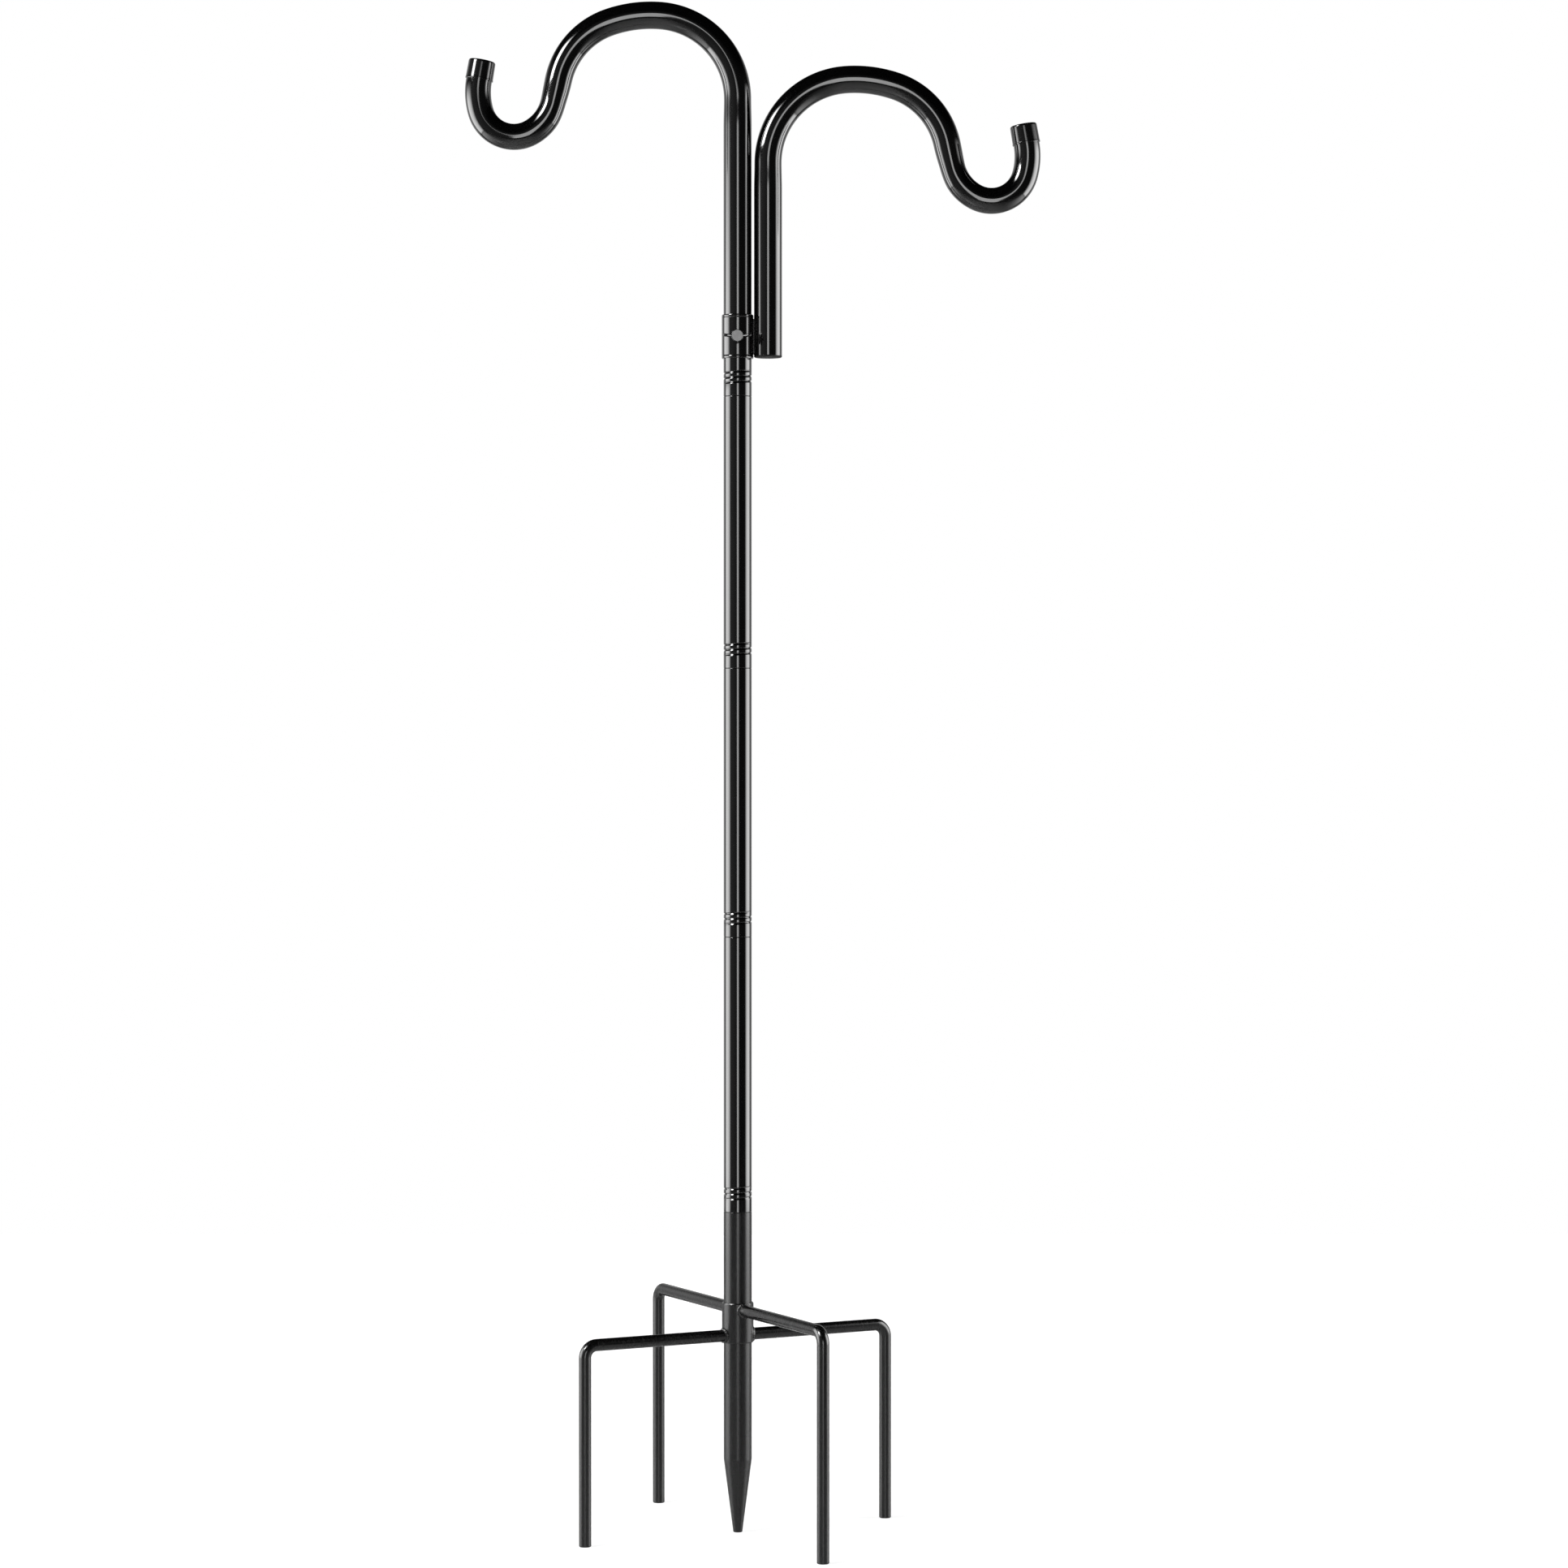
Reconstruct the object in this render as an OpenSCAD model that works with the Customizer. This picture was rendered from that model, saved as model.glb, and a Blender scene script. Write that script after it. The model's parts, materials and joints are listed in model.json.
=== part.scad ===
// Double shepherds hook: a screwed-together steel pole that ends in a tall hook, with a second
// hook on a sliding collar and a base of a pointed stake between two forks.
// Z runs up the pole, X along both hooks, and the origin is the middle of the stake's flat tip.

/* [Tube] */
// Outer diameter of the pole sections and of the straight part of both hooks
tube_od = 25.4; // [24:0.1:27]
// Wall of the pole sections and of both hooks
tube_wall = 1; // [0.8:0.1:1.2]
// Outer diameter of the hook tube where it goes over the arch
arch_od = 24.6; // [23:0.1:25]
// Outer diameter of the hook tube round the cradle that things hang in
cradle_od = 23.5; // [22:0.1:24.5]

/* [Pole sections] */
// Height of the stake tube's shoulder above the tip
stake_height = 291; // [270:1:340]
// Length of the lower pole between its joints
lower_pole_len = 249; // [180:1:400]
// Length of the middle pole between its joints
middle_pole_len = 243; // [180:1:400]
// Length of the upper pole between its joints
upper_pole_len = 245.4; // [180:0.1:400]
// Chamfer on the edge of each joint, which shows as a thin dark line
seam_chamfer = 0.35; // [0.2:0.05:0.5]

/* [Threaded joints] */
// Length of the screwed neck on top of each section
neck_len = 34; // [32:1:45]
// How much deeper the socket is than the neck
socket_spare = 8; // [6:1:14]
// Radial gap between a neck and the socket that it screws into
neck_gap = 0.2; // [0.1:0.05:0.3]
// Height of the rolled thread's start above the joint
thread_start = 12; // [8:0.5:14]
// Rise of the rolled thread in one turn
thread_pitch = 4.6; // [4:0.1:5]
// Turns of the rolled thread
thread_turns = 2.5; // [2:0.5:3]
// Depth of the groove that is rolled into the socket's outside
groove_depth = 0.45; // [0.3:0.05:0.5]
// Width of the groove at the tube's surface
groove_width = 2.6; // [2:0.1:3]
// How far the same groove stands into the socket's bore
ridge_height = 0.55; // [0.4:0.05:0.6]

/* [Hook bends] */
// Radius of the bend that leaves the upright
rise_radius = 75.5; // [68:0.5:85]
// Angle of the bend that leaves the upright
rise_angle = 86; // [80:0.5:90]
// Radius of the flatter bend over the top
crown_radius = 115; // [90:1:140]
// Angle of the flatter bend over the top
crown_angle = 23; // [15:0.5:25]
// Radius of the bend that comes down again
fall_radius = 70.5; // [60:0.5:80]
// Angle of the bend that comes down again
fall_angle = 58.3; // [54:0.1:62]
// Straight length between the arch and the cradle
drop_len = 21.5; // [15:0.5:40]
// Radius where the cradle starts
cradle_in_radius = 41.5; // [35:0.5:50]
// Angle of the bend where the cradle starts
cradle_in_angle = 49.2; // [45:0.1:55]
// Radius at the bottom of the cradle
cradle_radius = 31.2; // [28:0.1:40]
// Angle of the bend at the bottom of the cradle
cradle_angle = 102; // [95:0.5:106]
// Radius of the easy bend up to the cap
lip_radius = 64; // [50:1:80]
// Angle of the easy bend up to the cap
lip_angle = 26; // [20:0.5:30]

/* [Hook uprights] */
// Straight height of the tall hook's tube above its joint, up to the first bend
tall_straight = 268.2; // [255:0.1:400]
// Straight height of the second hook's tube from its plug to the first bend
arm_straight = 174; // [120:0.5:220]
// Length over which the upright narrows to the arch's diameter
taper_len = 24; // [15:1:40]

/* [End caps and plug] */
// Length of the cap over each hook's end
cap_len = 17.8; // [14:0.1:24]
// Wall of the cap round the tube
cap_wall = 0.7; // [0.5:0.05:1.2]
// Thickness of the cap's closed end
cap_top = 1.6; // [1:0.1:3]
// Radius of the cap's top edge
cap_round = 1.5; // [0.8:0.1:2]
// Thickness of the plug's flange under the second hook's tube
plug_flange = 1.3; // [0.8:0.1:2.5]
// Length of the plug's stem inside the tube
plug_stem = 12; // [8:1:20]
// Number of ribs round the plug's stem
plug_ribs = 3; // [2:1:3]

/* [Collar] */
// Height of the collar's lower bush above the joint at the foot of the tall hook
collar_lift = 34.1; // [30:0.1:120]
// Height of the steel collar between its two bushes
collar_height = 33.8; // [30:0.1:60]
// Wall of the steel collar
collar_wall = 0.9; // [0.8:0.05:1.5]
// Height of the tapered lip of each bush, outside the collar
bush_lip = 2.9; // [2:0.1:5]
// Length of each bush inside the collar
bush_depth = 9; // [6:0.5:10]
// Wall of each bush inside the collar
bush_wall = 0.6; // [0.5:0.05:1.2]
// Wall of each bush's lip at its thin end
bush_tip_wall = 0.25; // [0.15:0.05:0.5]
// Radial running gap between the bushes and the pole
pole_gap = 0.08; // [0.05:0.01:0.1]
// Radial running gap between the bushes and the collar
bush_gap = 0.05; // [0.03:0.01:0.1]
// Gap between a bush's lip and the collar's end
lip_gap = 0.1; // [0.05:0.05:0.3]
// Gap between the collar and the second hook's tube, which the welds bridge
arm_gap = 0.4; // [0.2:0.1:1]
// How far the plugged end of the tube reaches below the steel collar
arm_foot = 1.8; // [0.5:0.1:10]
// Diameter of the weld bead in each corner between collar and tube
collar_bead = 3.8; // [3:0.1:5]

/* [Wing screw] */
// Thread diameter
screw_d = 5; // [4:1:6]
// Height of the screw above the middle of the collar
screw_lift = -1.1; // [-5:0.1:5]
// Distance across the flats of the nut on the collar
nut_flats = 8; // [7.5:0.5:9.5]
// Thickness of the nut
nut_thick = 4; // [3:0.5:6]
// Gap between the clamped screw's tip and the pole
tip_gap = 0.25; // [0.2:0.05:0.4]
// Radial gap between the screw's shank and its nut and head
shank_gap = 0.05; // [0.03:0.01:0.1]
// Length of bare thread between nut and head when clamped
free_thread = 2.5; // [2:0.5:8]
// Diameter of the head's hub
hub_d = 11; // [10:0.5:14]
// Length of the head's hub
hub_len = 7; // [6:0.5:10]
// Thickness of the hub's closed end, beyond the shank
hub_floor = 2; // [1.5:0.1:3]
// Distance between the tips of the wings
wing_span = 26; // [24:1:36]
// Thickness of the wings
wing_thick = 3; // [1.4:0.1:4]
// How far the wings reach past the hub's face
wing_reach = 5; // [3:0.5:8]

/* [Base] */
// Diameter of the fork rods
rod_d = 11; // [8:0.5:11.5]
// Height of the lower fork's bar
lower_bar_height = 179.1; // [150:0.1:200]
// Height of the upper fork's bar above the lower one
bar_rise = 23.2; // [20:0.1:30]
// Distance from the pole to each leg of the upper fork
upper_fork_reach = 165.2; // [120:0.1:220]
// Distance from the pole to each leg of the lower fork
lower_fork_reach = 152.3; // [120:0.1:220]
// Turn of the lower fork from the hooks' plane; the upper fork is square to it
fork_turn = 27.4; // [10:0.1:45]
// Centre-line radius of the fork bends
fork_bend = 11; // [9:0.5:25]
// How far the hub reaches past the two bars, below and above
base_hub_margin = 1; // [1:0.1:12]
// Wall of the hub
base_hub_wall = 1.5; // [1:0.1:3]
// Radial gap between the hub and the stake tube
base_hub_gap = 0.1; // [0.05:0.05:0.2]
// Radial gap between a rod and the holes that it passes through
rod_gap = 0.1; // [0.05:0.05:0.2]
// Width of the weld bead round each rod
bead_width = 1.9; // [1:0.1:2.5]
// Height of the stake's point
point_len = 66.5; // [50:0.5:90]
// Diameter of the flat tip
tip_d = 8.2; // [4:0.2:12]
// Length of the point's plug inside the stake tube
point_plug = 20; // [12:1:40]

/* [Hidden] */

gloss_black = [0.05, 0.05, 0.055];
satin_black = [0.13, 0.13, 0.14];
cap_black = [0.03, 0.03, 0.03];
screw_black = [0.16, 0.16, 0.17];

round_fn = 64;
sweep_fn = 96;
cut = 1;

// The bending tool's marks: half their width, half the width of their flat, their height above
// the tube, and their depth in its wall, with the hair's breadth that they bridge
mark_lap = 1;
mark_flat = 0.3;
mark_rise = 0.05;
mark_sink = 0.2;
step_gap = 0.05;

tube_r = tube_od / 2;
bore_r = tube_r - tube_wall;
neck_r = bore_r - neck_gap;
socket_len = neck_len + socket_spare;
groove_lift = 0.4 * groove_width;
first_seam = stake_height;
second_seam = first_seam + lower_pole_len;
third_seam = second_seam + middle_pole_len;
top_seam = third_seam + upper_pole_len;

collar_low = top_seam + collar_lift + bush_lip;
bush_bore_r = tube_r + pole_gap;
bush_r = bush_bore_r + bush_wall;
collar_bore_r = bush_r + bush_gap;
collar_r = collar_bore_r + collar_wall;
arm_x = collar_r + arm_gap + tube_r;
arm_low = collar_low - arm_foot + plug_flange;

screw_z = collar_low + collar_height / 2 + screw_lift;
shank_r = screw_d / 2;
nut_face = collar_r + nut_thick;
head_back = nut_face + free_thread;
head_bore_len = hub_len - hub_floor;

rod_r = rod_d / 2;
upper_bar_height = lower_bar_height + bar_rise;
base_hub_low = lower_bar_height - rod_r - base_hub_margin;
base_hub_len = bar_rise + rod_d + 2 * base_hub_margin;
base_hub_r = tube_r + base_hub_gap + base_hub_wall;

arch_r = arch_od / 2;
cradle_r = cradle_od / 2;

// Steps along a hook's centre line: a straight is [0, length, first radius, last radius],
// a bend is [side, bend radius, angle, tube radius], with side 1 away from the upright.
hook_steps = [
    [1, rise_radius, rise_angle, arch_r],
    [1, crown_radius, crown_angle, arch_r],
    [1, fall_radius, fall_angle, arch_r],
    [0, drop_len, arch_r, cradle_r],
    [-1, cradle_in_radius, cradle_in_angle, cradle_r],
    [-1, cradle_radius, cradle_angle, cradle_r],
    [-1, lip_radius, lip_angle, cradle_r],
    [0, cap_len - cap_top, cradle_r, cradle_r]
];

// A straight or narrowing length of tube, standing on its lower end
module hollow_length(len, low_r, high_r) {
    rotate_extrude($fn = round_fn)
        polygon([[low_r - tube_wall, 0], [low_r, 0], [high_r, len], [high_r - tube_wall, len]]);
}

// A bent length of tube that starts upright and leans towards +X for side 1, -X for side -1
module hollow_bend(side, radius, angle, r) {
    mirror([side > 0 ? 1 : 0, 0, 0])
        translate([-radius, 0, 0])
            rotate([90, 0, 0])
                rotate_extrude(angle = angle, $fn = sweep_fn)
                    translate([radius, 0])
                        difference() {
                            circle(r, $fn = round_fn);
                            circle(r - tube_wall, $fn = round_fn);
                        }
}

// The faint ring that a bending tool leaves where one bend ends and the next begins
module tool_mark(r) {
    inner_r = r - tube_wall;
    rotate_extrude($fn = round_fn)
        polygon([
            [r - mark_sink, -mark_lap], [r + mark_rise, -mark_flat], [r + mark_rise, mark_flat],
            [r - mark_sink, mark_lap], [inner_r + mark_sink, mark_lap],
            [inner_r - mark_rise, mark_flat], [inner_r - mark_rise, -mark_flat],
            [inner_r + mark_sink, -mark_lap]
        ]);
}

// Moves its children to the end of one step of the centre line
module step_end(step) {
    if (step[0] == 0)
        translate([0, 0, step[1] + step_gap]) children();
    else
        translate([step[0] * step[1] * (1 - cos(step[2])), 0, step[1] * sin(step[2])])
            rotate([0, step[0] * step[2], 0]) translate([0, 0, step_gap]) children();
}

// All the lengths of tube from one step on
module hook_lengths(steps, first = 0) {
    if (first < len(steps)) {
        step = steps[first];
        start_r = step[0] == 0 ? step[2] : step[3];
        if (first > 0)
            translate([0, 0, -step_gap / 2]) tool_mark(start_r);
        if (step[0] == 0)
            hollow_length(step[1], step[2], step[3]);
        else
            hollow_bend(step[0], step[1], step[2], step[3]);
        step_end(step) hook_lengths(steps, first + 1);
    }
}

// Moves its children to the start of the last step, where the cap's lip sits
module at_cap(steps, first = 0) {
    if (first < len(steps) - 1)
        step_end(steps[first]) at_cap(steps, first + 1) children();
    else
        children();
}

// The rolled thread as a swept trapezium, with one width at its near radius and one at its far
module thread_form(start, near_r, far_r, near_width, far_width) {
    per_turn = 24;
    first_angle = 180;
    count = round(thread_turns * per_turn);
    turned = [for (i = [0 : count]) i * 360 / per_turn];
    function at(angle, r, rise) = [
        r * cos(first_angle + angle), r * sin(first_angle + angle),
        start + angle / 360 * thread_pitch + rise
    ];
    points = [for (a = turned) each [
        at(a, near_r, -near_width / 2), at(a, far_r, -far_width / 2),
        at(a, far_r, far_width / 2), at(a, near_r, near_width / 2)
    ]];
    sides = [for (i = [0 : count - 1]) for (k = [0 : 3])
        [4 * i + k, 4 * i + 4 + k, 4 * i + 4 + (k + 1) % 4, 4 * i + (k + 1) % 4]];
    last = 4 * count;
    polyhedron(points, concat(sides, [[0, 1, 2, 3]], [[last + 3, last + 2, last + 1, last]]));
}

// The lower end of a section: a socket with the thread rolled into its wall
module socket_end(len) {
    ridge_r = bore_r - ridge_height;
    ridge_root_r = bore_r + 0.3 * tube_wall;
    difference() {
        rotate_extrude($fn = round_fn)
            polygon([
                [bore_r, 0], [tube_r - seam_chamfer, 0], [tube_r, seam_chamfer],
                [tube_r, len], [bore_r, len]
            ]);
        thread_form(thread_start, tube_r + groove_lift, tube_r - groove_depth,
            groove_width + groove_lift, groove_width / 2);
    }
    thread_form(thread_start, ridge_root_r, ridge_r, groove_width, groove_width / 2);
}

// The upper end of a section: the shoulder of the joint and the narrower screwed neck
module neck_end(body_len) {
    neck_bore_r = neck_r - tube_wall;
    ease = tube_r - neck_r;
    flare = 3 * ease;
    difference() {
        rotate_extrude($fn = round_fn)
            polygon([
                [bore_r, 0], [tube_r, 0], [tube_r, body_len - seam_chamfer],
                [tube_r - seam_chamfer, body_len], [neck_r, body_len],
                [neck_r, body_len + neck_len - ease], [neck_r - ease / 2, body_len + neck_len],
                [neck_bore_r, body_len + neck_len], [neck_bore_r, body_len - ease],
                [bore_r, body_len - flare]
            ]);
        translate([0, 0, body_len])
            thread_form(thread_start, neck_r + groove_lift, bore_r - ridge_height - neck_gap,
                groove_width + groove_lift + 2 * neck_gap, groove_width / 2 + 2 * neck_gap);
    }
}

// A pole section: socket below, screwed neck above
module pole_section(len) {
    socket_end(socket_len);
    translate([0, 0, socket_len]) neck_end(len - socket_len);
}

// A hook from some height of its upright on: plain tube, the narrowing, then all the bends
module hook_above(height, straight) {
    translate([0, 0, height]) hollow_length(straight - taper_len - height, tube_r, tube_r);
    translate([0, 0, straight - taper_len]) hollow_length(taper_len, tube_r, arch_r);
    translate([0, 0, straight]) hook_lengths(hook_steps);
}

// The cap over a hook's end, standing on its lip
module end_cap() {
    inner_r = cradle_r;
    outer_r = inner_r + cap_wall;
    difference() {
        rotate_extrude($fn = round_fn) {
            square([outer_r - cap_round, cap_len]);
            square([outer_r, cap_len - cap_round]);
            translate([outer_r - cap_round, cap_len - cap_round]) circle(cap_round, $fn = round_fn);
        }
        translate([0, 0, -cut]) cylinder(r = inner_r, h = cap_len - cap_top + cut, $fn = round_fn);
    }
}

// One bush of the collar: a thin sleeve inside it and a tapered lip outside it
module collar_bush() {
    rotate_extrude($fn = round_fn)
        polygon([
            [bush_bore_r, -bush_depth], [bush_r, -bush_depth], [bush_r, lip_gap],
            [collar_r, lip_gap], [bush_bore_r + bush_tip_wall, bush_lip],
            [bush_bore_r, bush_lip]
        ]);
}

// A rod bent twice into a fork, legs on the ground, bar along X
module fork(bar_height, reach) {
    bar_half = reach - fork_bend;
    leg_len = bar_height - fork_bend;
    translate([-bar_half, 0, bar_height])
        rotate([0, 90, 0]) cylinder(r = rod_r, h = 2 * bar_half, $fn = round_fn);
    for (side = [0, 1]) mirror([side, 0, 0]) {
        translate([bar_half, 0, leg_len])
            rotate([90, 0, 0])
                rotate_extrude(angle = 90, $fn = sweep_fn)
                    translate([fork_bend, 0]) circle(rod_r, $fn = round_fn);
        translate([reach, 0, 0]) cylinder(r = rod_r, h = leg_len, $fn = round_fn);
    }
}

// The two holes that a fork's bar needs through hub and stake tube
module rod_hole(bar_height) {
    translate([-base_hub_r - cut, 0, bar_height])
        rotate([0, 90, 0]) cylinder(r = rod_r + rod_gap, h = 2 * (base_hub_r + cut), $fn = round_fn);
}

// Both forks' holes, each turned as its fork is
module rod_holes() {
    rotate([0, 0, fork_turn - 90]) rod_hole(upper_bar_height);
    rotate([0, 0, fork_turn]) rod_hole(lower_bar_height);
}

// The two weld beads of one fork, where its bar leaves the hub
module bar_beads(bar_height) {
    bead_r = rod_r + bead_width;
    toe_r = rod_r + 0.3 * bead_width;
    shoulder = 0.3 * bead_width;
    root = 3;
    bead_start = base_hub_r - root;
    for (side = [0, 180])
        rotate([0, 0, side])
            translate([bead_start, 0, bar_height])
                rotate([0, 90, 0])
                    rotate_extrude($fn = round_fn)
                        polygon([
                            [rod_r, 0], [bead_r, 0], [bead_r, root + shoulder],
                            [toe_r, root + bead_width], [rod_r, root + bead_width]
                        ]);
}

module tall_hook_tube() {
    color(gloss_black)
        translate([0, 0, top_seam]) {
            socket_end(socket_len);
            mirror([1, 0, 0]) hook_above(socket_len, tall_straight);
        }
}

module tall_hook_cap() {
    color(cap_black)
        mirror([1, 0, 0])
            translate([0, 0, top_seam + tall_straight]) at_cap(hook_steps) end_cap();
}

module upper_pole() {
    color(gloss_black) translate([0, 0, third_seam]) pole_section(upper_pole_len);
}

module middle_pole() {
    color(gloss_black) translate([0, 0, second_seam]) pole_section(middle_pole_len);
}

module lower_pole() {
    color(gloss_black) translate([0, 0, first_seam]) pole_section(lower_pole_len);
}

module ground_stake() {
    color(satin_black)
        difference() {
            translate([0, 0, point_len]) neck_end(stake_height - point_len);
            rod_holes();
        }
}

module stake_point() {
    color(satin_black) {
        cylinder(r1 = tip_d / 2, r2 = tube_r, h = point_len, $fn = round_fn);
        translate([0, 0, point_len]) cylinder(r = bore_r, h = point_plug, $fn = round_fn);
    }
}

module hub_sleeve() {
    inner_r = tube_r + base_hub_gap;
    edge = 0.7 * base_hub_wall;
    edge_height = 2 * edge;
    color(satin_black)
        difference() {
            translate([0, 0, base_hub_low])
                rotate_extrude($fn = round_fn)
                    polygon([
                        [inner_r, 0], [base_hub_r - edge, 0], [base_hub_r, edge_height],
                        [base_hub_r, base_hub_len - edge_height],
                        [base_hub_r - edge, base_hub_len],
                        [inner_r, base_hub_len]
                    ]);
            rod_holes();
        }
}

module upper_fork() {
    color(satin_black) rotate([0, 0, fork_turn - 90]) fork(upper_bar_height, upper_fork_reach);
}

module lower_fork() {
    color(satin_black) rotate([0, 0, fork_turn]) fork(lower_bar_height, lower_fork_reach);
}

module fork_welds() {
    past = rod_d;
    color(satin_black)
        difference() {
            union() {
                rotate([0, 0, fork_turn - 90]) bar_beads(upper_bar_height);
                rotate([0, 0, fork_turn]) bar_beads(lower_bar_height);
            }
            translate([0, 0, base_hub_low - past])
                cylinder(r = base_hub_r, h = base_hub_len + 2 * past, $fn = round_fn);
        }
}

module upper_bush() {
    color(cap_black) translate([0, 0, collar_low + collar_height]) collar_bush();
}

module lower_bush() {
    color(cap_black) translate([0, 0, collar_low]) mirror([0, 0, 1]) collar_bush();
}

module arm_hook_tube() {
    color(gloss_black)
        translate([arm_x, 0, arm_low]) hook_above(0, arm_straight);
}

module arm_hook_cap() {
    color(cap_black)
        translate([arm_x, 0, arm_low + arm_straight]) at_cap(hook_steps) end_cap();
}

module arm_tube_plug() {
    rib = 0.4;
    rib_step = plug_stem / (plug_ribs + 1);
    color(cap_black)
        translate([arm_x, 0, arm_low]) {
            translate([0, 0, -plug_flange])
                cylinder(r1 = tube_r - rib, r2 = tube_r, h = plug_flange, $fn = round_fn);
            cylinder(r = bore_r - rib, h = plug_stem, $fn = round_fn);
            for (i = [1 : plug_ribs])
                translate([0, 0, i * rib_step])
                    cylinder(r1 = bore_r, r2 = bore_r - rib, h = rib_step / 2, $fn = round_fn);
        }
}

module collar_sleeve() {
    color(gloss_black)
        difference() {
            translate([0, 0, collar_low])
                rotate_extrude($fn = round_fn)
                    polygon([
                        [collar_bore_r, 0], [collar_r, 0],
                        [collar_r, collar_height], [collar_bore_r, collar_height]
                    ]);
            translate([0, 0, screw_z])
                rotate([90, 0, 0])
                    cylinder(r = shank_r + shank_gap, h = collar_r + cut, $fn = round_fn);
        }
}

module collar_welds() {
    bead_r = collar_bead / 2;
    bead_x = collar_r + arm_gap / 2;
    bead_y = sqrt(pow(tube_r + bead_r / 2, 2) - pow(tube_r, 2));
    margin = 1.2;
    color(gloss_black)
        difference() {
            for (side = [-1, 1])
                translate([bead_x, side * bead_y, collar_low + margin])
                    cylinder(r = bead_r, h = collar_height - 2 * margin, $fn = round_fn);
            translate([0, 0, collar_low])
                cylinder(r = collar_r, h = collar_height, $fn = round_fn);
            translate([arm_x, 0, collar_low])
                cylinder(r = tube_r, h = collar_height, $fn = round_fn);
        }
}

module weld_nut() {
    color(screw_black)
        difference() {
            translate([0, 0, screw_z])
                rotate([90, 0, 0])
                    cylinder(d = nut_flats / cos(30), h = nut_face, $fn = 6);
            translate([0, 0, collar_low])
                cylinder(r = collar_r, h = collar_height, $fn = round_fn);
            translate([0, 0, screw_z])
                rotate([90, 0, 0])
                    cylinder(r = shank_r + shank_gap, h = nut_face + cut, $fn = round_fn);
        }
}

module wing_screw_shank() {
    tip_start = tube_r + tip_gap;
    tip_chamfer = 0.8;
    end_gap = 0.3;
    shank_len = head_back + head_bore_len - end_gap - tip_start;
    color(screw_black)
        translate([0, -tip_start, screw_z])
            rotate([90, 0, 0])
                rotate_extrude($fn = round_fn)
                    polygon([
                        [0, 0], [shank_r - tip_chamfer, 0], [shank_r, tip_chamfer],
                        [shank_r, shank_len], [0, shank_len]
                    ]);
}

module wing_screw_head() {
    hub_r = hub_d / 2;
    edge = 1.2;
    wing_root = 1.5;
    wing_foot = 1;
    root_x = hub_r - wing_root;
    foot_x = hub_r + wing_foot;
    ear_r = 2.4;
    ear_x = wing_span / 2 - ear_r;
    ear_y = hub_len + wing_reach - ear_r;
    ear_turn = 37;
    side_x = ear_r * cos(ear_turn);
    side_y = ear_r * sin(ear_turn);
    color(screw_black)
        translate([0, -head_back, screw_z])
            rotate([90, 0, 0])
                difference() {
                    union() {
                        rotate_extrude($fn = round_fn)
                            polygon([
                                [0, 0], [hub_r - edge / 2, 0], [hub_r, edge / 2],
                                [hub_r, hub_len - edge], [hub_r - edge, hub_len], [0, hub_len]
                            ]);
                        for (side = [0, 1])
                            mirror([side, 0, 0])
                                translate([0, wing_thick / 2, 0])
                                    rotate([90, 0, 0])
                                        linear_extrude(wing_thick) {
                                            polygon([
                                                [root_x, edge], [foot_x, edge],
                                                [ear_x + side_x, ear_y - side_y],
                                                [ear_x - side_x, ear_y + side_y],
                                                [root_x, hub_len - edge]
                                            ]);
                                            translate([ear_x, ear_y]) circle(ear_r, $fn = round_fn);
                                        }
                    }
                    translate([0, 0, -cut])
                        cylinder(r = shank_r + shank_gap, h = head_bore_len + cut, $fn = round_fn);
                }
}

tall_hook_tube();
tall_hook_cap();
upper_pole();
middle_pole();
lower_pole();
ground_stake();
stake_point();
hub_sleeve();
upper_fork();
lower_fork();
fork_welds();
upper_bush();
lower_bush();
arm_hook_tube();
arm_hook_cap();
arm_tube_plug();
collar_sleeve();
collar_welds();
weld_nut();
wing_screw_shank();
wing_screw_head();
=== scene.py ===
"""Double shepherds hook: the finished steel, plastic and welds, built round the packed frame."""

import json
from math import atan2, cos, exp, hypot, pi, radians, sin, sqrt, tan

import bpy
from bpy.props import FloatProperty, FloatVectorProperty, IntProperty, PointerProperty
from mathutils import Matrix, Vector


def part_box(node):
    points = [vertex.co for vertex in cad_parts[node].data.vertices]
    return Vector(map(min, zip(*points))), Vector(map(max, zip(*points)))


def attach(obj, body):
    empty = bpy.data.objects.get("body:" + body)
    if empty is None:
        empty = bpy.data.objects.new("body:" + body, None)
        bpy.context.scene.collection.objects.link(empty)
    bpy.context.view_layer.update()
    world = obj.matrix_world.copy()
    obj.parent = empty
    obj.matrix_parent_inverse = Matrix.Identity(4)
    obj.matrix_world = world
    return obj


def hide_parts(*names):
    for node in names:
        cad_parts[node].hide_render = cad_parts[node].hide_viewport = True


bl_info = {
    "name": "Double shepherds hook",
    "version": (1, 0, 0),
    "blender": (4, 5, 0),
    "location": "View3D > Sidebar > Garden hook",
    "description": "Builds a screwed garden pole with two hooks, a sliding collar and a forked base",
    "category": "Object",
}

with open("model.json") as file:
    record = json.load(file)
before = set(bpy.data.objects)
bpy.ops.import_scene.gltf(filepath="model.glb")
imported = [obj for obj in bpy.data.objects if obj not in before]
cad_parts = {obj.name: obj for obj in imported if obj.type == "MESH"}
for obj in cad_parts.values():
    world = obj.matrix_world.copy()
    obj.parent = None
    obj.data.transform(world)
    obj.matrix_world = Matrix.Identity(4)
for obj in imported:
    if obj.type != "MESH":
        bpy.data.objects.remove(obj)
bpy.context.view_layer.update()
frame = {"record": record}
BODY_OF = {n: body for body, ns in frame["record"]["behaviour"]["bodies"].items() for n in ns}

ROUND = 96
THREAD_ROW = 0.00022
LOWER_FLANK = 0.82
THREAD_FADE = 0.15
SEAM_SUPPORT = 1.4
RELIEF_DEPTH = 0.0001
TURN = 2 * pi


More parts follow.
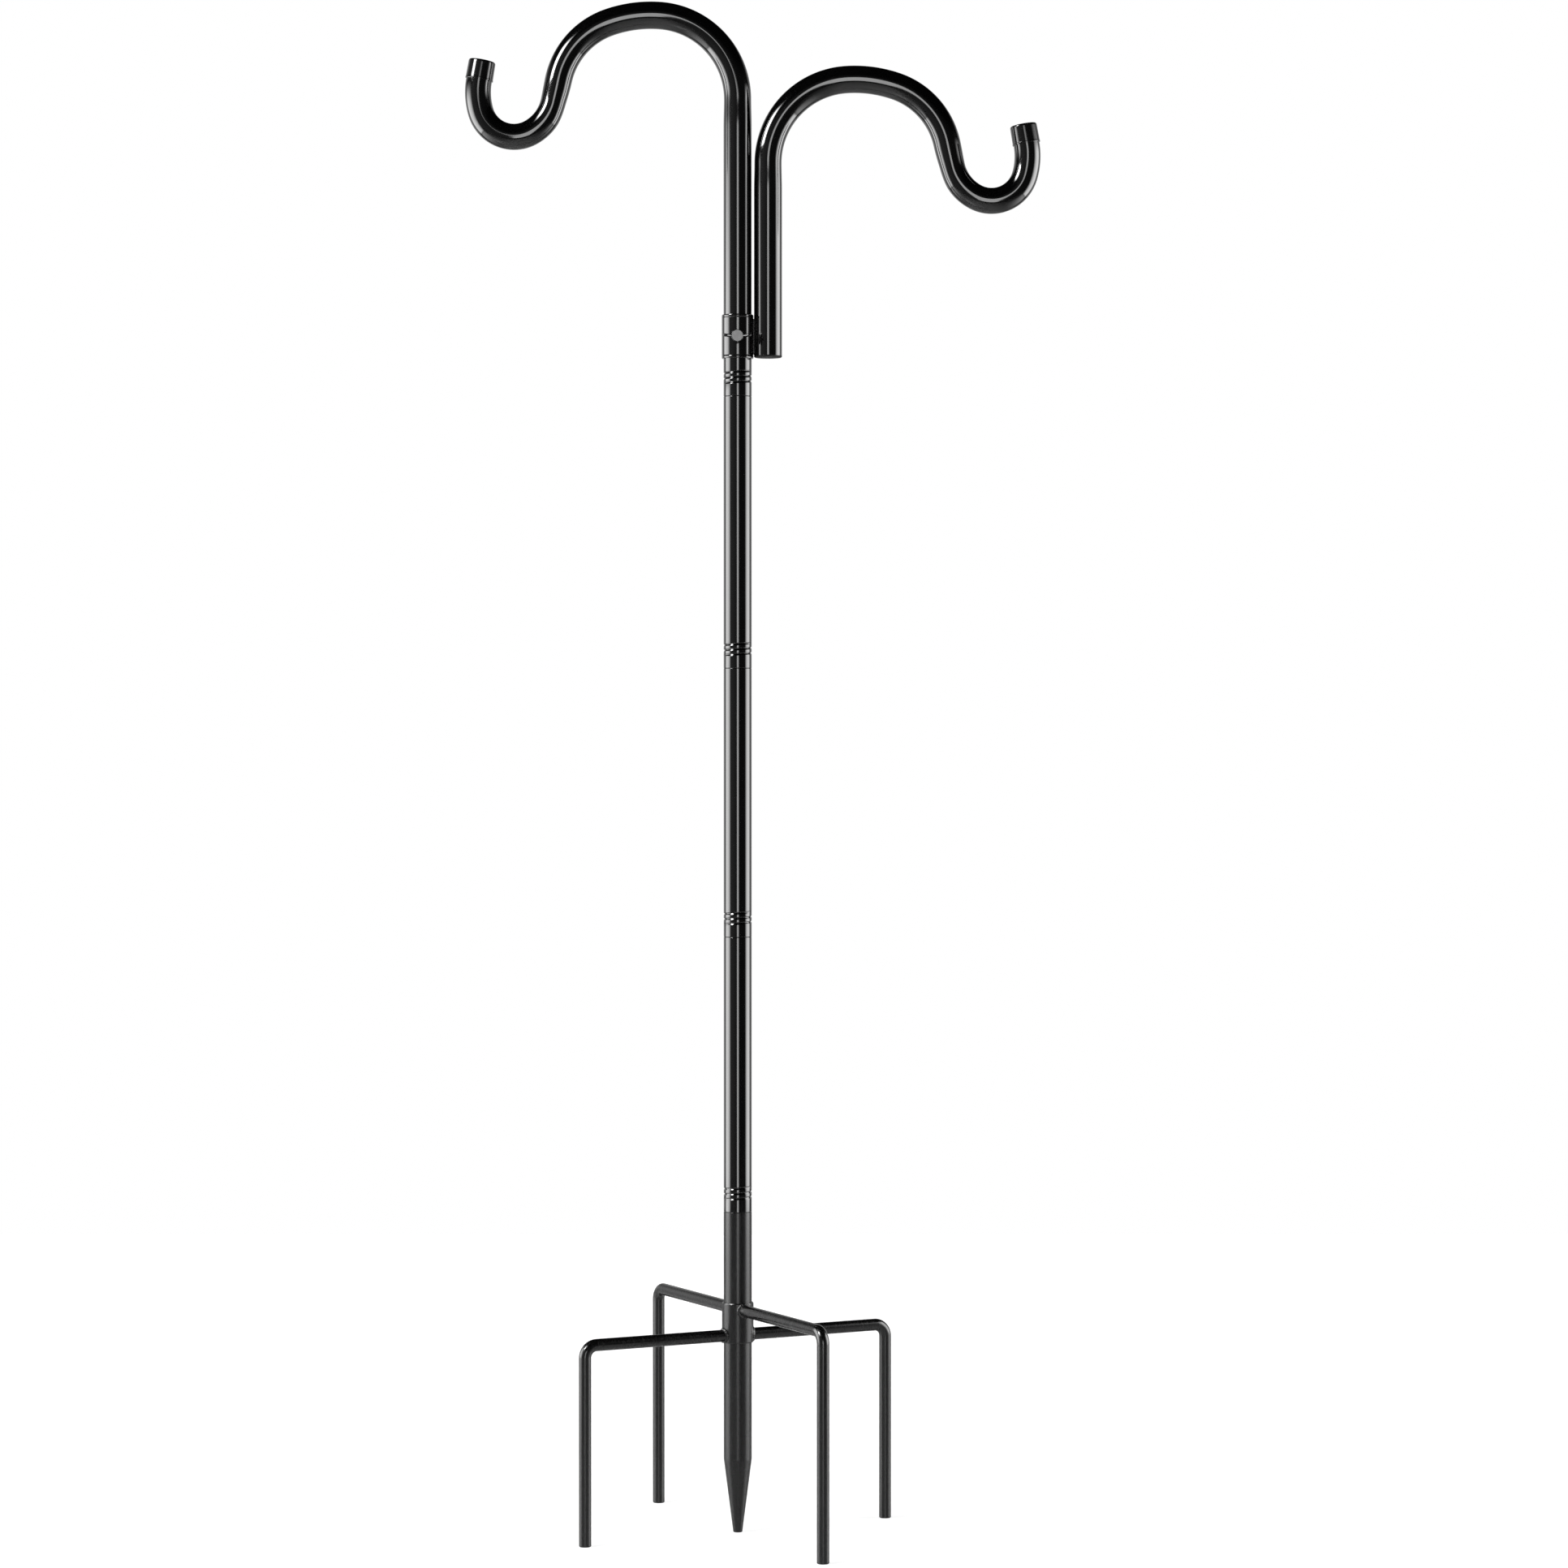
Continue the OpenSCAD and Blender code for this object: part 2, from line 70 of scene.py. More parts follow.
def low(node):
    """Height of a node's lowest point."""
    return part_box(node)[0].z


def high(node):
    """Height of a node's highest point."""
    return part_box(node)[1].z


def across(node):
    """Width of a node along X."""
    near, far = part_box(node)
    return far.x - near.x


def length(name, description, default):
    """A size in metres."""
    return FloatProperty(
        name=name, description=description, default=default, min=0, precision=5, unit="LENGTH")


def angle(name, description, default):
    """An angle, given in degrees and kept in radians."""
    return FloatProperty(
        name=name, description=description, default=radians(default), subtype="ANGLE")


def colour(name, description, default):
    """A colour, as linear red, green and blue."""
    return FloatVectorProperty(
        name=name, description=description, default=default, size=3, min=0, max=1, subtype="COLOR")


def amount(name, description, default, highest=1.0):
    """A plain number."""
    return FloatProperty(name=name, description=description, default=default, min=0, max=highest)


class TubeSizes(bpy.types.PropertyGroup):
    """The steel tube and the screwed joints between its sections."""

    diameter: length("Tube diameter", "Outside of the pole sections", across("lower_pole"))
    wall: length("Wall", "Thickness of the steel", 0.001)
    seam_chamfer: length("Seam chamfer", "Bevel on both edges of each joint", 0.00035)
    neck_length: length(
        "Neck length", "Screwed neck on top of each section",
        high("lower_pole") - low("middle_pole"))
    neck_gap: length("Neck gap", "Radial gap between neck and socket", 0.0002)
    socket_spare: length("Socket spare", "How much deeper the socket is than the neck", 0.008)
    thread_start: length("Thread start", "Rolled thread's start above the joint", 0.012)
    thread_pitch: length("Thread pitch", "Rise of the rolled thread in one turn", 0.0046)
    thread_turns: amount("Thread turns", "Turns of the rolled thread", 2.5, 5)
    groove_depth: length("Groove depth", "Depth of the rolled groove outside", 0.0007)
    groove_width: length("Groove width", "Width of the rolled groove", 0.0025)
    ridge_height: length("Ridge height", "Height of the same groove inside", 0.00055)


class HookSizes(bpy.types.PropertyGroup):
    """The bends of both hooks, from the upright to the cap."""

    arch_diameter: length("Arch diameter", "Outside of the tube over the arch", 0.0246)
    cradle_diameter: length("Cradle diameter", "Outside of the tube round the cradle", 0.0235)
    taper: length("Taper", "Length over which the upright narrows to the arch", 0.024)
    tall_straight: length("Tall upright", "From the joint to the tall hook's first bend", 0.2682)
    arm_straight: length("Second upright", "From the plug to the second hook's first bend", 0.174)
    rise_radius: length("Rise radius", "Bend that leaves the upright", 0.0755)
    rise_angle: angle("Rise angle", "Bend that leaves the upright", 86)
    crown_radius: length("Crown radius", "Flatter bend over the top", 0.115)
    crown_angle: angle("Crown angle", "Flatter bend over the top", 23)
    fall_radius: length("Fall radius", "Bend that comes down again", 0.0705)
    fall_angle: angle("Fall angle", "Bend that comes down again", 58.3)
    drop: length("Drop", "Straight between the arch and the cradle", 0.0215)
    cradle_in_radius: length("Cradle-in radius", "Bend where the cradle starts", 0.0415)
    cradle_in_angle: angle("Cradle-in angle", "Bend where the cradle starts", 49.2)
    cradle_radius: length("Cradle radius", "Bottom of the cradle", 0.0312)
    cradle_angle: angle("Cradle angle", "Bottom of the cradle", 102)
    lip_radius: length("Lip radius", "Easy bend up to the cap", 0.064)
    lip_angle: angle("Lip angle", "Easy bend up to the cap", 26)
    dent: length("Dent", "Flat that the bending tool leaves inside the cradle's start", 0.0007)


class CapSizes(bpy.types.PropertyGroup):
    """The moulded caps and the plug in the second hook's foot."""

    cap_length: length("Cap length", "From the lip to the closed end", 0.0178)
    cap_wall: length("Cap wall", "Wall round the tube", 0.0007)
    cap_top: length("Cap top", "Thickness of the closed end", 0.0016)
    cap_round: length("Cap rounding", "Radius of the closed end's edge", 0.0017)
    cap_draft: length("Cap draft", "How much slimmer the closed end is", 0.0003)
    lip_height: length("Lip height", "Height of the thicker lip", 0.0011)
    plug_flange: length(
        "Plug flange", "Flange under the tube", low("arm_hook_tube") - low("arm_tube_plug"))
    plug_rib: length("Plug rib", "How far the ribs stand out of the stem", 0.0004)
    plug_ribs: IntProperty(name="Plug ribs", description="Ribs round the stem", default=3)


class CollarSizes(bpy.types.PropertyGroup):
    """The sliding collar with its bushes and weld beads."""

    wall: length("Collar wall", "Thickness of the steel collar", 0.0009)
    bush_bore_gap: length("Running gap", "Between the bushes and the pole", 0.00008)
    bush_wall: length("Bush wall", "Wall of a bush inside the collar", 0.0006)
    bush_tip_wall: length("Bush tip", "Wall at the thin end of a bush's lip", 0.00025)
    lip_gap: length("Lip gap", "Between a bush's lip and the collar", 0.0001)
    bead_diameter: length("Bead diameter", "Weld bead beside the second hook", 0.0038)
    bead_ripple: length("Bead ripple", "Depth of the ripples in the beads", 0.00018)
    bead_pitch: length("Bead pitch", "Distance between two ripples", 0.0011)


class ScrewSizes(bpy.types.PropertyGroup):
    """The wing screw and the nut that it turns in."""

    diameter: length("Thread diameter", "Outside of the screw's thread", 0.005)
    pitch: length("Thread pitch", "Rise of the screw's thread in one turn", 0.0008)
    thread_depth: length("Thread depth", "Depth of the screw's thread", 0.00045)
    gap: length("Screw gap", "Radial gap round the shank", 0.00005)
    nut_flats: length("Nut flats", "Distance across the nut's flats", 0.008)
    hub_diameter: length(
        "Hub diameter", "Outside of the head's hub",
        high("wing_screw_head") - low("wing_screw_head"))
    hub_length: length("Hub length", "Length of the head's hub", 0.007)
    hub_floor: length("Hub floor", "Closed end beyond the shank", 0.002)
    wing_thickness: length("Wing thickness", "Thickness of each wing", 0.003)
    ear_radius: length("Ear radius", "Round end of each wing", 0.0024)
    hub_edge: length("Hub edge", "Rounding round the hub's flat face", 0.0005)


class BaseSizes(bpy.types.PropertyGroup):
    """The stake with its hub, the two forks and their welds."""

    rod_diameter: length("Rod diameter", "Outside of the fork rods", 0.011)
    fork_bend: length("Fork bend", "Centre-line radius of the fork bends", 0.011)
    tip_diameter: length("Tip diameter", "Flat end of the stake's point", 0.0082)
    plug_length: length(
        "Point's plug", "Length of the point inside the tube",
        high("stake_point") - low("ground_stake"))
    hub_gap: length("Hub gap", "Radial gap between hub and stake", 0.0001)
    hub_edge: length("Hub edge", "Bevel on both ends of the hub", 0.0005)
    bead_width: length("Bead width", "Weld bead round each rod", 0.0017)
    bead_ripples: IntProperty(name="Bead ripples", description="Ripples round a bead", default=22)


class Finishes(bpy.types.PropertyGroup):
    """Colours and gloss of each finish."""

    gloss: colour("Gloss black", "Powder coat on tubes and hooks", (0.0014, 0.0014, 0.0015))
    gloss_roughness: amount("Gloss roughness", "Of the powder coat", 0.1)
    satin: colour("Satin black", "Paint on the stake, hub and forks", (0.007, 0.007, 0.0072))
    satin_roughness: amount("Satin roughness", "Of the base's paint", 0.25)
    moulded: colour("Moulded black", "Caps and plug", (0.0018, 0.0018, 0.0019))
    nylon: colour("Nylon black", "Bushes of the collar", (0.0025, 0.0025, 0.0026))
    screw: colour("Screw black", "Paint on the wing screw and the nut", (0.002, 0.002, 0.0021))
    dust: colour("Dust", "Fine dust on faces that look up", (0.09, 0.088, 0.084))


class Studio(bpy.types.PropertyGroup):
    """The camera, the floor and the soft lights."""

    camera_distance: length("Camera distance", "In front of the pole", 3.85)
    camera_side: length("Camera side", "To the right of the pole", 0.0419)
    camera_height: length("Camera height", "Above the floor", 0.7307)
    camera_tilt: angle("Camera tilt", "How far the camera looks down", 0.78)
    lens: amount("Lens", "Focal length in millimetres on a 36 mm frame", 97.7, 300)
    floor_size: length("Floor size", "Side of the floor", 4.5)
    side_radiance: amount("Side panels", "Brightness of the two side panels", 5.3, 50)
    key_radiance: amount("Key panel", "Brightness of the high panel on the left", 34.0, 50)
    front_radiance: amount("Front strip", "Brightness of the strip behind the camera", 3.6, 50)
    # Painted light: strength of the pools that the floor glows with below the side panels, seen only
    # in reflections
    painted_floor_pools: amount("Pools", "Sheen on the floor below the side panels", 1.0, 10)
    room: amount("Room", "Brightness of the dark room on the right", 0.03)
    left_room: amount("Left room", "Brightness of the room on the left", 0.16)
    back_wall: amount("Back wall", "Brightness of the wall behind the object", 0.42)


GROUPS = {
    "hook_tube": TubeSizes, "hook_bends": HookSizes, "hook_caps": CapSizes,
    "hook_collar": CollarSizes, "hook_screw": ScrewSizes, "hook_base": BaseSizes,
    "hook_finishes": Finishes, "hook_studio": Studio,
}


def smooth_step(t):
    """Eases from 0 to 1."""
    t = min(max(t, 0), 1)
    return t * t * (3 - 2 * t)


def angles(count=ROUND):
    """Evenly spaced angles round a circle."""
    return [TURN * k / count for k in range(count)]


def skin(name, rings, closed, tips=(None, None)):
    """A mesh over rings of points: closed joins the last ring to the first, else both ends get
    lids, each a fan round its tip or round the ring's middle."""
    count = len(rings[0])
    points = [point for ring in rings for point in ring]
    steps = len(rings) if closed else len(rings) - 1
    faces = []
    for i in range(steps):
        here, there = i * count, (i + 1) % len(rings) * count
        for k in range(count):
            after = (k + 1) % count
            faces.append((here + k, here + after, there + after, there + k))
    if not closed:
        last = (len(rings) - 1) * count
        for start, order, tip in ((0, -1, tips[0]), (last, 1, tips[1])):
            middle = len(points)
            points.append(tip or sum((Vector(p) for p in rings[start // count]), Vector()) / count)
            for k in range(count):
                pair = (start + k, start + (k + 1) % count)[::order]
                faces.append((*pair, middle))
    mesh = bpy.data.meshes.new(name)
    mesh.from_pydata(points, [], faces)
    mesh.validate()
    mesh.shade_smooth()
    return mesh


def soften(corners, closed=True, steps=4, support=0.35):
    """A profile whose corners, each (radius from the axis, height, rounding), are made round."""
    outline = []
    count = len(corners)
    for i, (r, z, rounding) in enumerate(corners):
        here = Vector((r, z))
        if rounding == 0 or (not closed and i in (0, count - 1)):
            outline.append(here)
            continue
        before = (Vector(corners[i - 1][:2]) - here).normalized()
        after = (Vector(corners[(i + 1) % count][:2]) - here).normalized()
        half = before.angle(after) / 2
        setback = rounding / tan(half)
        middle = here + (before + after).normalized() * rounding / sin(half)
        start = here + before * setback - middle
        end = here + after * setback - middle
        sweep = start.angle_signed(end)
        outline.append(middle + start + before * rounding * support)
        for k in range(steps + 1):
            turned = start.copy()
            turned.rotate(Matrix.Rotation(-sweep * k / steps, 2))
            outline.append(middle + turned)
        outline.append(middle + end + after * rounding * support)
    return outline


def lathe(name, outline, placement=Matrix(), closed=True, count=ROUND):
    """A turned piece: the outline's points are (radius, height) along the placement's Z. One that
    isn't closed starts and ends on the axis."""
    rings = [
        [placement @ Vector((r * cos(a), r * sin(a), z)) for a in angles(count)]
        for r, z in (outline if closed else outline[1:-1])
    ]
    tips = [placement @ Vector((0, 0, outline[end][1])) for end in (0, -1)]
    return skin(name, rings, closed, tips)


def place(node, mesh, material):
    """Puts a finished mesh where the frame has the plain node, on the same body."""
    piece = bpy.data.objects.new(f"finished_{node}", mesh)
    bpy.context.scene.collection.objects.link(piece)
    mesh.materials.append(material)
    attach(piece, BODY_OF[node])
    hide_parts(node)
    return piece


def stack(*meshes):
    """One mesh from several."""
    points = []
    faces = []
    for mesh in meshes:
        first = len(points)
        points += [v.co.copy() for v in mesh.vertices]
        faces += [tuple(first + v for v in p.vertices) for p in mesh.polygons]
    joined = bpy.data.meshes.new(meshes[0].name)
    joined.from_pydata(points, [], faces)
    joined.validate()
    joined.shade_smooth()
    for mesh in meshes:
        bpy.data.meshes.remove(mesh)
    return joined


def rgba(tone, factor=1.0):
    """A colour with its alpha, made lighter or darker."""
    return (*(min(c * factor, 1) for c in tone), 1)


def grey(level):
    """A grey with its alpha."""
    return (level, level, level, 1)


class Nodes:
    """Short calls for building one node tree."""

    def __init__(self, tree, cleared=False):
        self.tree = tree
        if cleared:
            tree.nodes.clear()

    def add(self, kind, **settings):
        """A node with its plain settings and its named inputs."""
        node = self.tree.nodes.new(kind)
        for key, value in settings.items():
            if hasattr(node, key):
                setattr(node, key, value)
            else:
                self.put(node.inputs[key.replace("_", " ")], value)
        return node

    def put(self, socket, value):
        """Links a socket to another one, or sets its value."""
        if isinstance(value, bpy.types.NodeSocket):
            self.tree.links.new(value, socket)
        else:
            socket.default_value = value

    def where(self, kind="Object"):
        """The place on a surface: in metres, or with Generated in shares of the piece's box."""
        return self.add("ShaderNodeTexCoord").outputs[kind]

    def axes(self, vector):
        """The X, Y and Z of a vector, by name."""
        return self.add("ShaderNodeSeparateXYZ", Vector=vector).outputs

    def drawn_out(self, place_in, share):
        """The same place with Z scaled down, so that a pattern is drawn out along it."""
        node = self.add("ShaderNodeMapping", Vector=place_in)
        node.inputs["Scale"].default_value = (1.0, 1.0, share)
        return node.outputs["Vector"]

    def noise(self, place_in, scale, detail):
        """Fine random variation, from 0 to 1."""
        node = self.add("ShaderNodeTexNoise", Vector=place_in, Scale=scale, Detail=detail)
        return node.outputs["Fac"]

    def spread(self, value, before, after):
        """Maps a range of values to another, with soft ends."""
        node = self.add("ShaderNodeMapRange", interpolation_type="SMOOTHSTEP", Value=value)
        for name, number in zip(("From Min", "From Max", "To Min", "To Max"), before + after):
            node.inputs[name].default_value = number
        return node.outputs["Result"]

    def calc(self, kind, first, second=0.0):
        """One step of arithmetic."""
        node = self.add("ShaderNodeMath", operation=kind)
        self.put(node.inputs[0], first)
        self.put(node.inputs[1], second)
        return node.outputs["Value"]

    def times(self, first, *others):
        """The product of several values."""
        for other in others:
            first = self.calc("MULTIPLY", first, other)
        return first

    def mix(self, share, first, second):
        """One colour into another."""
        node = self.add("ShaderNodeMix", data_type="RGBA")
        for socket, value in zip((0, 6, 7), (share, first, second)):
            self.put(node.inputs[socket], value)
        return node.outputs[2]

    def patchy(self, share, tone, darkest, lightest):
        """A colour that varies between two multiples of itself."""
        return self.mix(share, rgba(tone, darkest), rgba(tone, lightest))

    def edges(self, span, most):
        """How worn the sharp edges are, from 0 to most over a span of sharpness."""
        sharpness = self.add("ShaderNodeNewGeometry").outputs["Pointiness"]
        return self.spread(sharpness, span, (0.0, most))

    def end(self, kind, surface, to_camera=None):
        """Ends the tree with a shader, and shows the camera another one if that is given."""
        if to_camera:
            both = self.add("ShaderNodeMixShader")
            seen = self.add("ShaderNodeLightPath").outputs["Is Camera Ray"]
            for socket, value in zip(both.inputs, (seen, surface.outputs[0], to_camera.outputs[0])):
                self.put(socket, value)
            surface = both
        self.put(self.add(kind).inputs["Surface"], surface.outputs[0])


def start_material(name):
    material = bpy.data.materials.get(name)
    if material:
        return material, None
    material = bpy.data.materials.new(name)
    material.use_nodes = True
    return material, Nodes(material.node_tree)


def dusted(kit, paint, place_in, most):
    """A little dust on the faces that look up, in soft patches."""
    normal = kit.add("ShaderNodeNewGeometry").outputs["Normal"]
    facing = kit.spread(kit.axes(normal)["Z"], (0.35, 1.0), (0.0, 1.0))
    patches = kit.spread(kit.noise(place_in, scale=60, detail=5), (0.35, 0.7), (0.15, 1.0))
    dust = rgba(bpy.context.scene.hook_finishes.dust)
    return kit.mix(kit.times(facing, patches, most), paint, dust)


def cover(kit, place_in, paint, roughness, relief, coat):
    """Gives a new material's shader its colour and roughness, a fine relief (strength, scale and
    detail) and a clear coat (weight and roughness)."""
    shader = kit.tree.nodes["Principled BSDF"]
    strength, scale, detail = relief
    bump = kit.add("ShaderNodeBump", Strength=strength, Distance=RELIEF_DEPTH,
                   Height=kit.noise(place_in, scale, detail))
    kit.put(shader.inputs["Base Color"], paint)
    kit.put(shader.inputs["Roughness"], roughness)
    kit.put(shader.inputs["Normal"], bump.outputs["Normal"])
    for name, value in zip(("Coat Weight", "Coat Roughness"), coat):
        shader.inputs[name].default_value = value


def gloss_paint(name="gloss_powder_coat", extra_relief=0.0):
    """Glossy black powder coat: clear skin, faint orange peel, smears and dust."""
    material, kit = start_material(name)
    if kit:
        finishes = bpy.context.scene.hook_finishes
        rough = finishes.gloss_roughness
        where = kit.where()
        paint = kit.patchy(kit.noise(where, scale=26, detail=4), finishes.gloss, 0.8, 1.25)
        smears = kit.noise(kit.drawn_out(where, 0.15), scale=160, detail=4)
        cover(kit, where, dusted(kit, paint, where, most=0.004),
              kit.spread(smears, (0.3, 0.75), (rough * 0.8, rough * 1.35)),
              relief=(0.02 + extra_relief, 350, 2), coat=(1.0, 0.055))
    return material


def satin_paint(name="satin_black_paint", extra_relief=0.0, shade=1.0, coat=(0.35, 0.2)):
    """Satin black paint: fine grain, scuffs along the rods, edges rubbed a little lighter. The
    shade darkens it, and the coat's weight and roughness set its gloss."""
    material, kit = start_material(name)
    if kit:
        finishes = bpy.context.scene.hook_finishes
        rough = finishes.satin_roughness
        where = kit.where()
        cloud = kit.noise(where, scale=38, detail=5)
        paint = kit.patchy(cloud, finishes.satin, 0.75 * shade, 1.3 * shade)
        rubbed = kit.times(kit.edges((0.53, 0.62), 0.5), kit.noise(where, scale=300, detail=3))
        paint = kit.mix(rubbed, paint, rgba(finishes.satin, 2.0 * shade))
        scuffs = kit.noise(kit.drawn_out(where, 0.12), scale=420, detail=5)
        cover(kit, where, dusted(kit, paint, where, most=0.008),
              kit.spread(scuffs, (0.25, 0.8), (rough * 0.85, rough * 1.25)),
              relief=(0.035 + extra_relief, 600, 2), coat=coat)
    return material


def moulded_plastic(name="moulded_black", rough=0.1, shine=0.8):
    """Moulded black of the caps and the duller plug, with a faint flow pattern."""
    material, kit = start_material(name)
    if kit:
        where = kit.where()
        flow = kit.noise(kit.drawn_out(where, 0.3), scale=120, detail=4)
        paint = kit.patchy(flow, bpy.context.scene.hook_finishes.moulded, 0.8, 1.3)
        cover(kit, where, dusted(kit, paint, where, most=0.008),
              kit.spread(flow, (0.3, 0.7), (rough, rough * 1.6)),
              relief=(0.03, 500, 2), coat=(shine, 0.06))
    return material


def nylon():
    """Smooth moulded nylon of the collar's bushes."""
    material, kit = start_material("bush_nylon")
    if kit:
        where = kit.where()
        cloud = kit.noise(where, scale=200, detail=4)
        paint = kit.patchy(cloud, bpy.context.scene.hook_finishes.nylon, 0.8, 1.3)
        cover(kit, where, paint, kit.spread(cloud, (0.3, 0.7), (0.1, 0.15)),
              relief=(0.05, 900, 2), coat=(1.0, 0.05))
    return material


def screw_paint():
    """Black paint of the wing screw, its shank and the nut, over a faintly uneven casting."""
    material, kit = start_material("screw_black_paint")
    if kit:
        tone = bpy.context.scene.hook_finishes.screw
        where = kit.where()
        cloud = kit.noise(where, scale=350, detail=5)
        rubbed = kit.times(kit.edges((0.54, 0.64), 0.6), cloud)
        paint = kit.mix(rubbed, kit.patchy(cloud, tone, 0.75, 1.3), rgba(tone, 12))
        cover(kit, where, paint, kit.spread(cloud, (0.3, 0.7), (0.14, 0.2)),
              relief=(0.04, 700, 3), coat=(0.9, 0.07))
    return material


def thread_at(tube, turned, rise):
    """How deep the rolled thread is at an angle and a height above its joint, from 0 to 1. Its
    lower flank is the longer one, and it fades in and out over a part of a turn."""
    part = (turned - pi) % TURN / TURN
    below, above = tube.groove_width * LOWER_FLANK, tube.groove_width * (1 - LOWER_FLANK)
    deepest = 0.0
    for whole in range(int(tube.thread_turns) + 1):
        turn = part + whole
        if turn > tube.thread_turns:
            continue
        off = rise - tube.thread_start - turn * tube.thread_pitch
        share = abs(off) / (above if off > 0 else below)
        if share < 1:
            fade = smooth_step(turn / THREAD_FADE)
            fade *= smooth_step((tube.thread_turns - turn) / THREAD_FADE)
            deepest = max(deepest, (1 + cos(pi * share)) / 2 * fade)
    return deepest


def thread_rows(tube):
    """Heights above a joint, close together where the rolled thread is."""
    first = tube.thread_start - tube.groove_width / 2
    last = tube.thread_start + tube.thread_turns * tube.thread_pitch + tube.groove_width / 2
    count = round((last - first) / THREAD_ROW)
    return [first + (last - first) * i / count for i in range(count + 1)]


def level_ring(radii, z):
    """Points round the pole at one height, with a radius for each angle."""
    return [(r * cos(a), r * sin(a), z) for r, a in zip(radii, angles(len(radii)))]


def threaded_rings(tube, base, rows, radius, depth):
    """Rings of a pole's surface, with the rolled thread pressed in by depth."""
    return [
        level_ring([radius - depth * thread_at(tube, a, rise) for a in angles()], base + rise)
        for rise in rows
    ]


def plain_rings(outline, base=0.0):
    """Rings of a turned surface round the pole."""
    return [level_ring([r] * ROUND, base + z) for r, z in outline]


def socket_outside(tube, base):
    """Rings up the outside of a section from its joint, thread included."""
    radius = tube.diameter / 2
    edge = tube.seam_chamfer
    support = edge * SEAM_SUPPORT
    rings = plain_rings(((radius - edge, 0), (radius, edge), (radius, support)), base)
    return rings + threaded_rings(tube, base, thread_rows(tube), radius, tube.groove_depth)


def socket_inside(tube, base):
    """Rings down the bore of a section to its joint, with the thread standing into it."""
    bore = tube.diameter / 2 - tube.wall
    rows = thread_rows(tube)[::-1]
    return threaded_rings(tube, base, rows, bore, tube.ridge_height) + plain_rings(
        ((bore, 0),), base)


def neck(tube, base):
    """Rings over the shoulder at the top of a section, up its screwed neck and down its bore."""
    radius = tube.diameter / 2
    edge = tube.seam_chamfer
    bore = radius - tube.wall
    neck_radius = bore - tube.neck_gap
    neck_bore = neck_radius - tube.wall
    ease = radius - neck_radius
    top = tube.neck_length
    depth = tube.ridge_height
    rings = plain_rings(
        ((radius, -edge * SEAM_SUPPORT), (radius, -edge), (radius - edge, 0), (neck_radius, 0)),
        base)
    rings += threaded_rings(tube, base, thread_rows(tube), neck_radius, depth)
    rings += plain_rings(
        ((neck_radius, top - ease), (neck_radius - ease / 2, top), (neck_bore, top)), base)
    rings += threaded_rings(tube, base, thread_rows(tube)[::-1], neck_bore, depth)
    return rings + plain_rings(((neck_bore, -ease), (bore, -3 * ease)), base)


class GARDEN_OT_pole_sections(bpy.types.Operator):
    """Build the three pole sections with their rolled threads"""

    bl_idname = "garden_hook.pole_sections"
    bl_label = "Pole sections"

    def execute(self, context):
        tube = context.scene.hook_tube
        for node in ("lower_pole", "middle_pole", "upper_pole"):
            base = low(node)
            shoulder = high(node) - tube.neck_length
            rings = socket_outside(tube, base) + neck(tube, shoulder) + socket_inside(tube, base)
            place(node, skin(node, rings, closed=True), gloss_paint())
        return {"FINISHED"}


def bend_steps(bends):
    """The steps of both hooks: side, radius and angle of a bend, or side 0 and a length."""
    return (
        (1, bends.rise_radius, bends.rise_angle),
        (1, bends.crown_radius, bends.crown_angle),
        (1, bends.fall_radius, bends.fall_angle),
        (0, bends.drop, 0),
        (-1, bends.cradle_in_radius, bends.cradle_in_angle),
        (-1, bends.cradle_radius, bends.cradle_angle),
        (-1, bends.lip_radius, bends.lip_angle),
    )


def hook_centre_line(bends, foot, side, end_length):
    """Stations (place, heading from the vertical, distance) from the first bend to the end."""
    spacing = 0.0022
    place_now = Vector(foot)
    heading = 0.0
    travelled = 0.0
    stations = [(place_now.copy(), heading, travelled)]
    for turn, size, swing in (*bend_steps(bends), (0, end_length, 0)):
        run = size if turn == 0 else size * swing
        count = max(2, round(run / spacing))
        start, start_heading = place_now.copy(), heading
        for i in range(1, count + 1):
            done = run * i / count
            if turn == 0:
                place_now = start + Vector((sin(heading), 0, cos(heading))) * done
            else:
                way = turn * side
                heading = start_heading + way * done / size
                place_now = start + size * way * Vector((
                    cos(start_heading) - cos(heading), 0, sin(heading) - sin(start_heading)))
            stations.append((place_now.copy(), heading, travelled + done))
        travelled += run
    return stations


def hook_end(bends, foot, side):
    """The place and heading where the cap's lip sits, just past the last bend."""
    past_bend = 0.0001
    return hook_centre_line(bends, foot, side, past_bend)[-1][:2]


def arch_length(bends):
    """Length of the arch, which is the three bends to the first side."""
    return sum(size * swing for turn, size, swing in bend_steps(bends) if turn > 0)


def hook_radius(bends, distance):
    """Outside radius of a hook's tube at a distance past its first bend."""
    arch, cradle = bends.arch_diameter / 2, bends.cradle_diameter / 2
    return arch + (cradle - arch) * smooth_step((distance - arch_length(bends)) / bends.drop)


def bent_ring(centre, heading, radius, inner=0.0, flat=0.0):
    """Points round a bent tube; flat presses in the side that the angle inner looks to."""
    outward = Vector((cos(heading), 0, -sin(heading)))
    ring = []
    for a in angles():
        facing = max(0.0, cos(a - inner))
        r = radius - flat * facing ** 3
        ring.append(centre + outward * (r * cos(a)) + Vector((0, r * sin(a), 0)))
    return ring


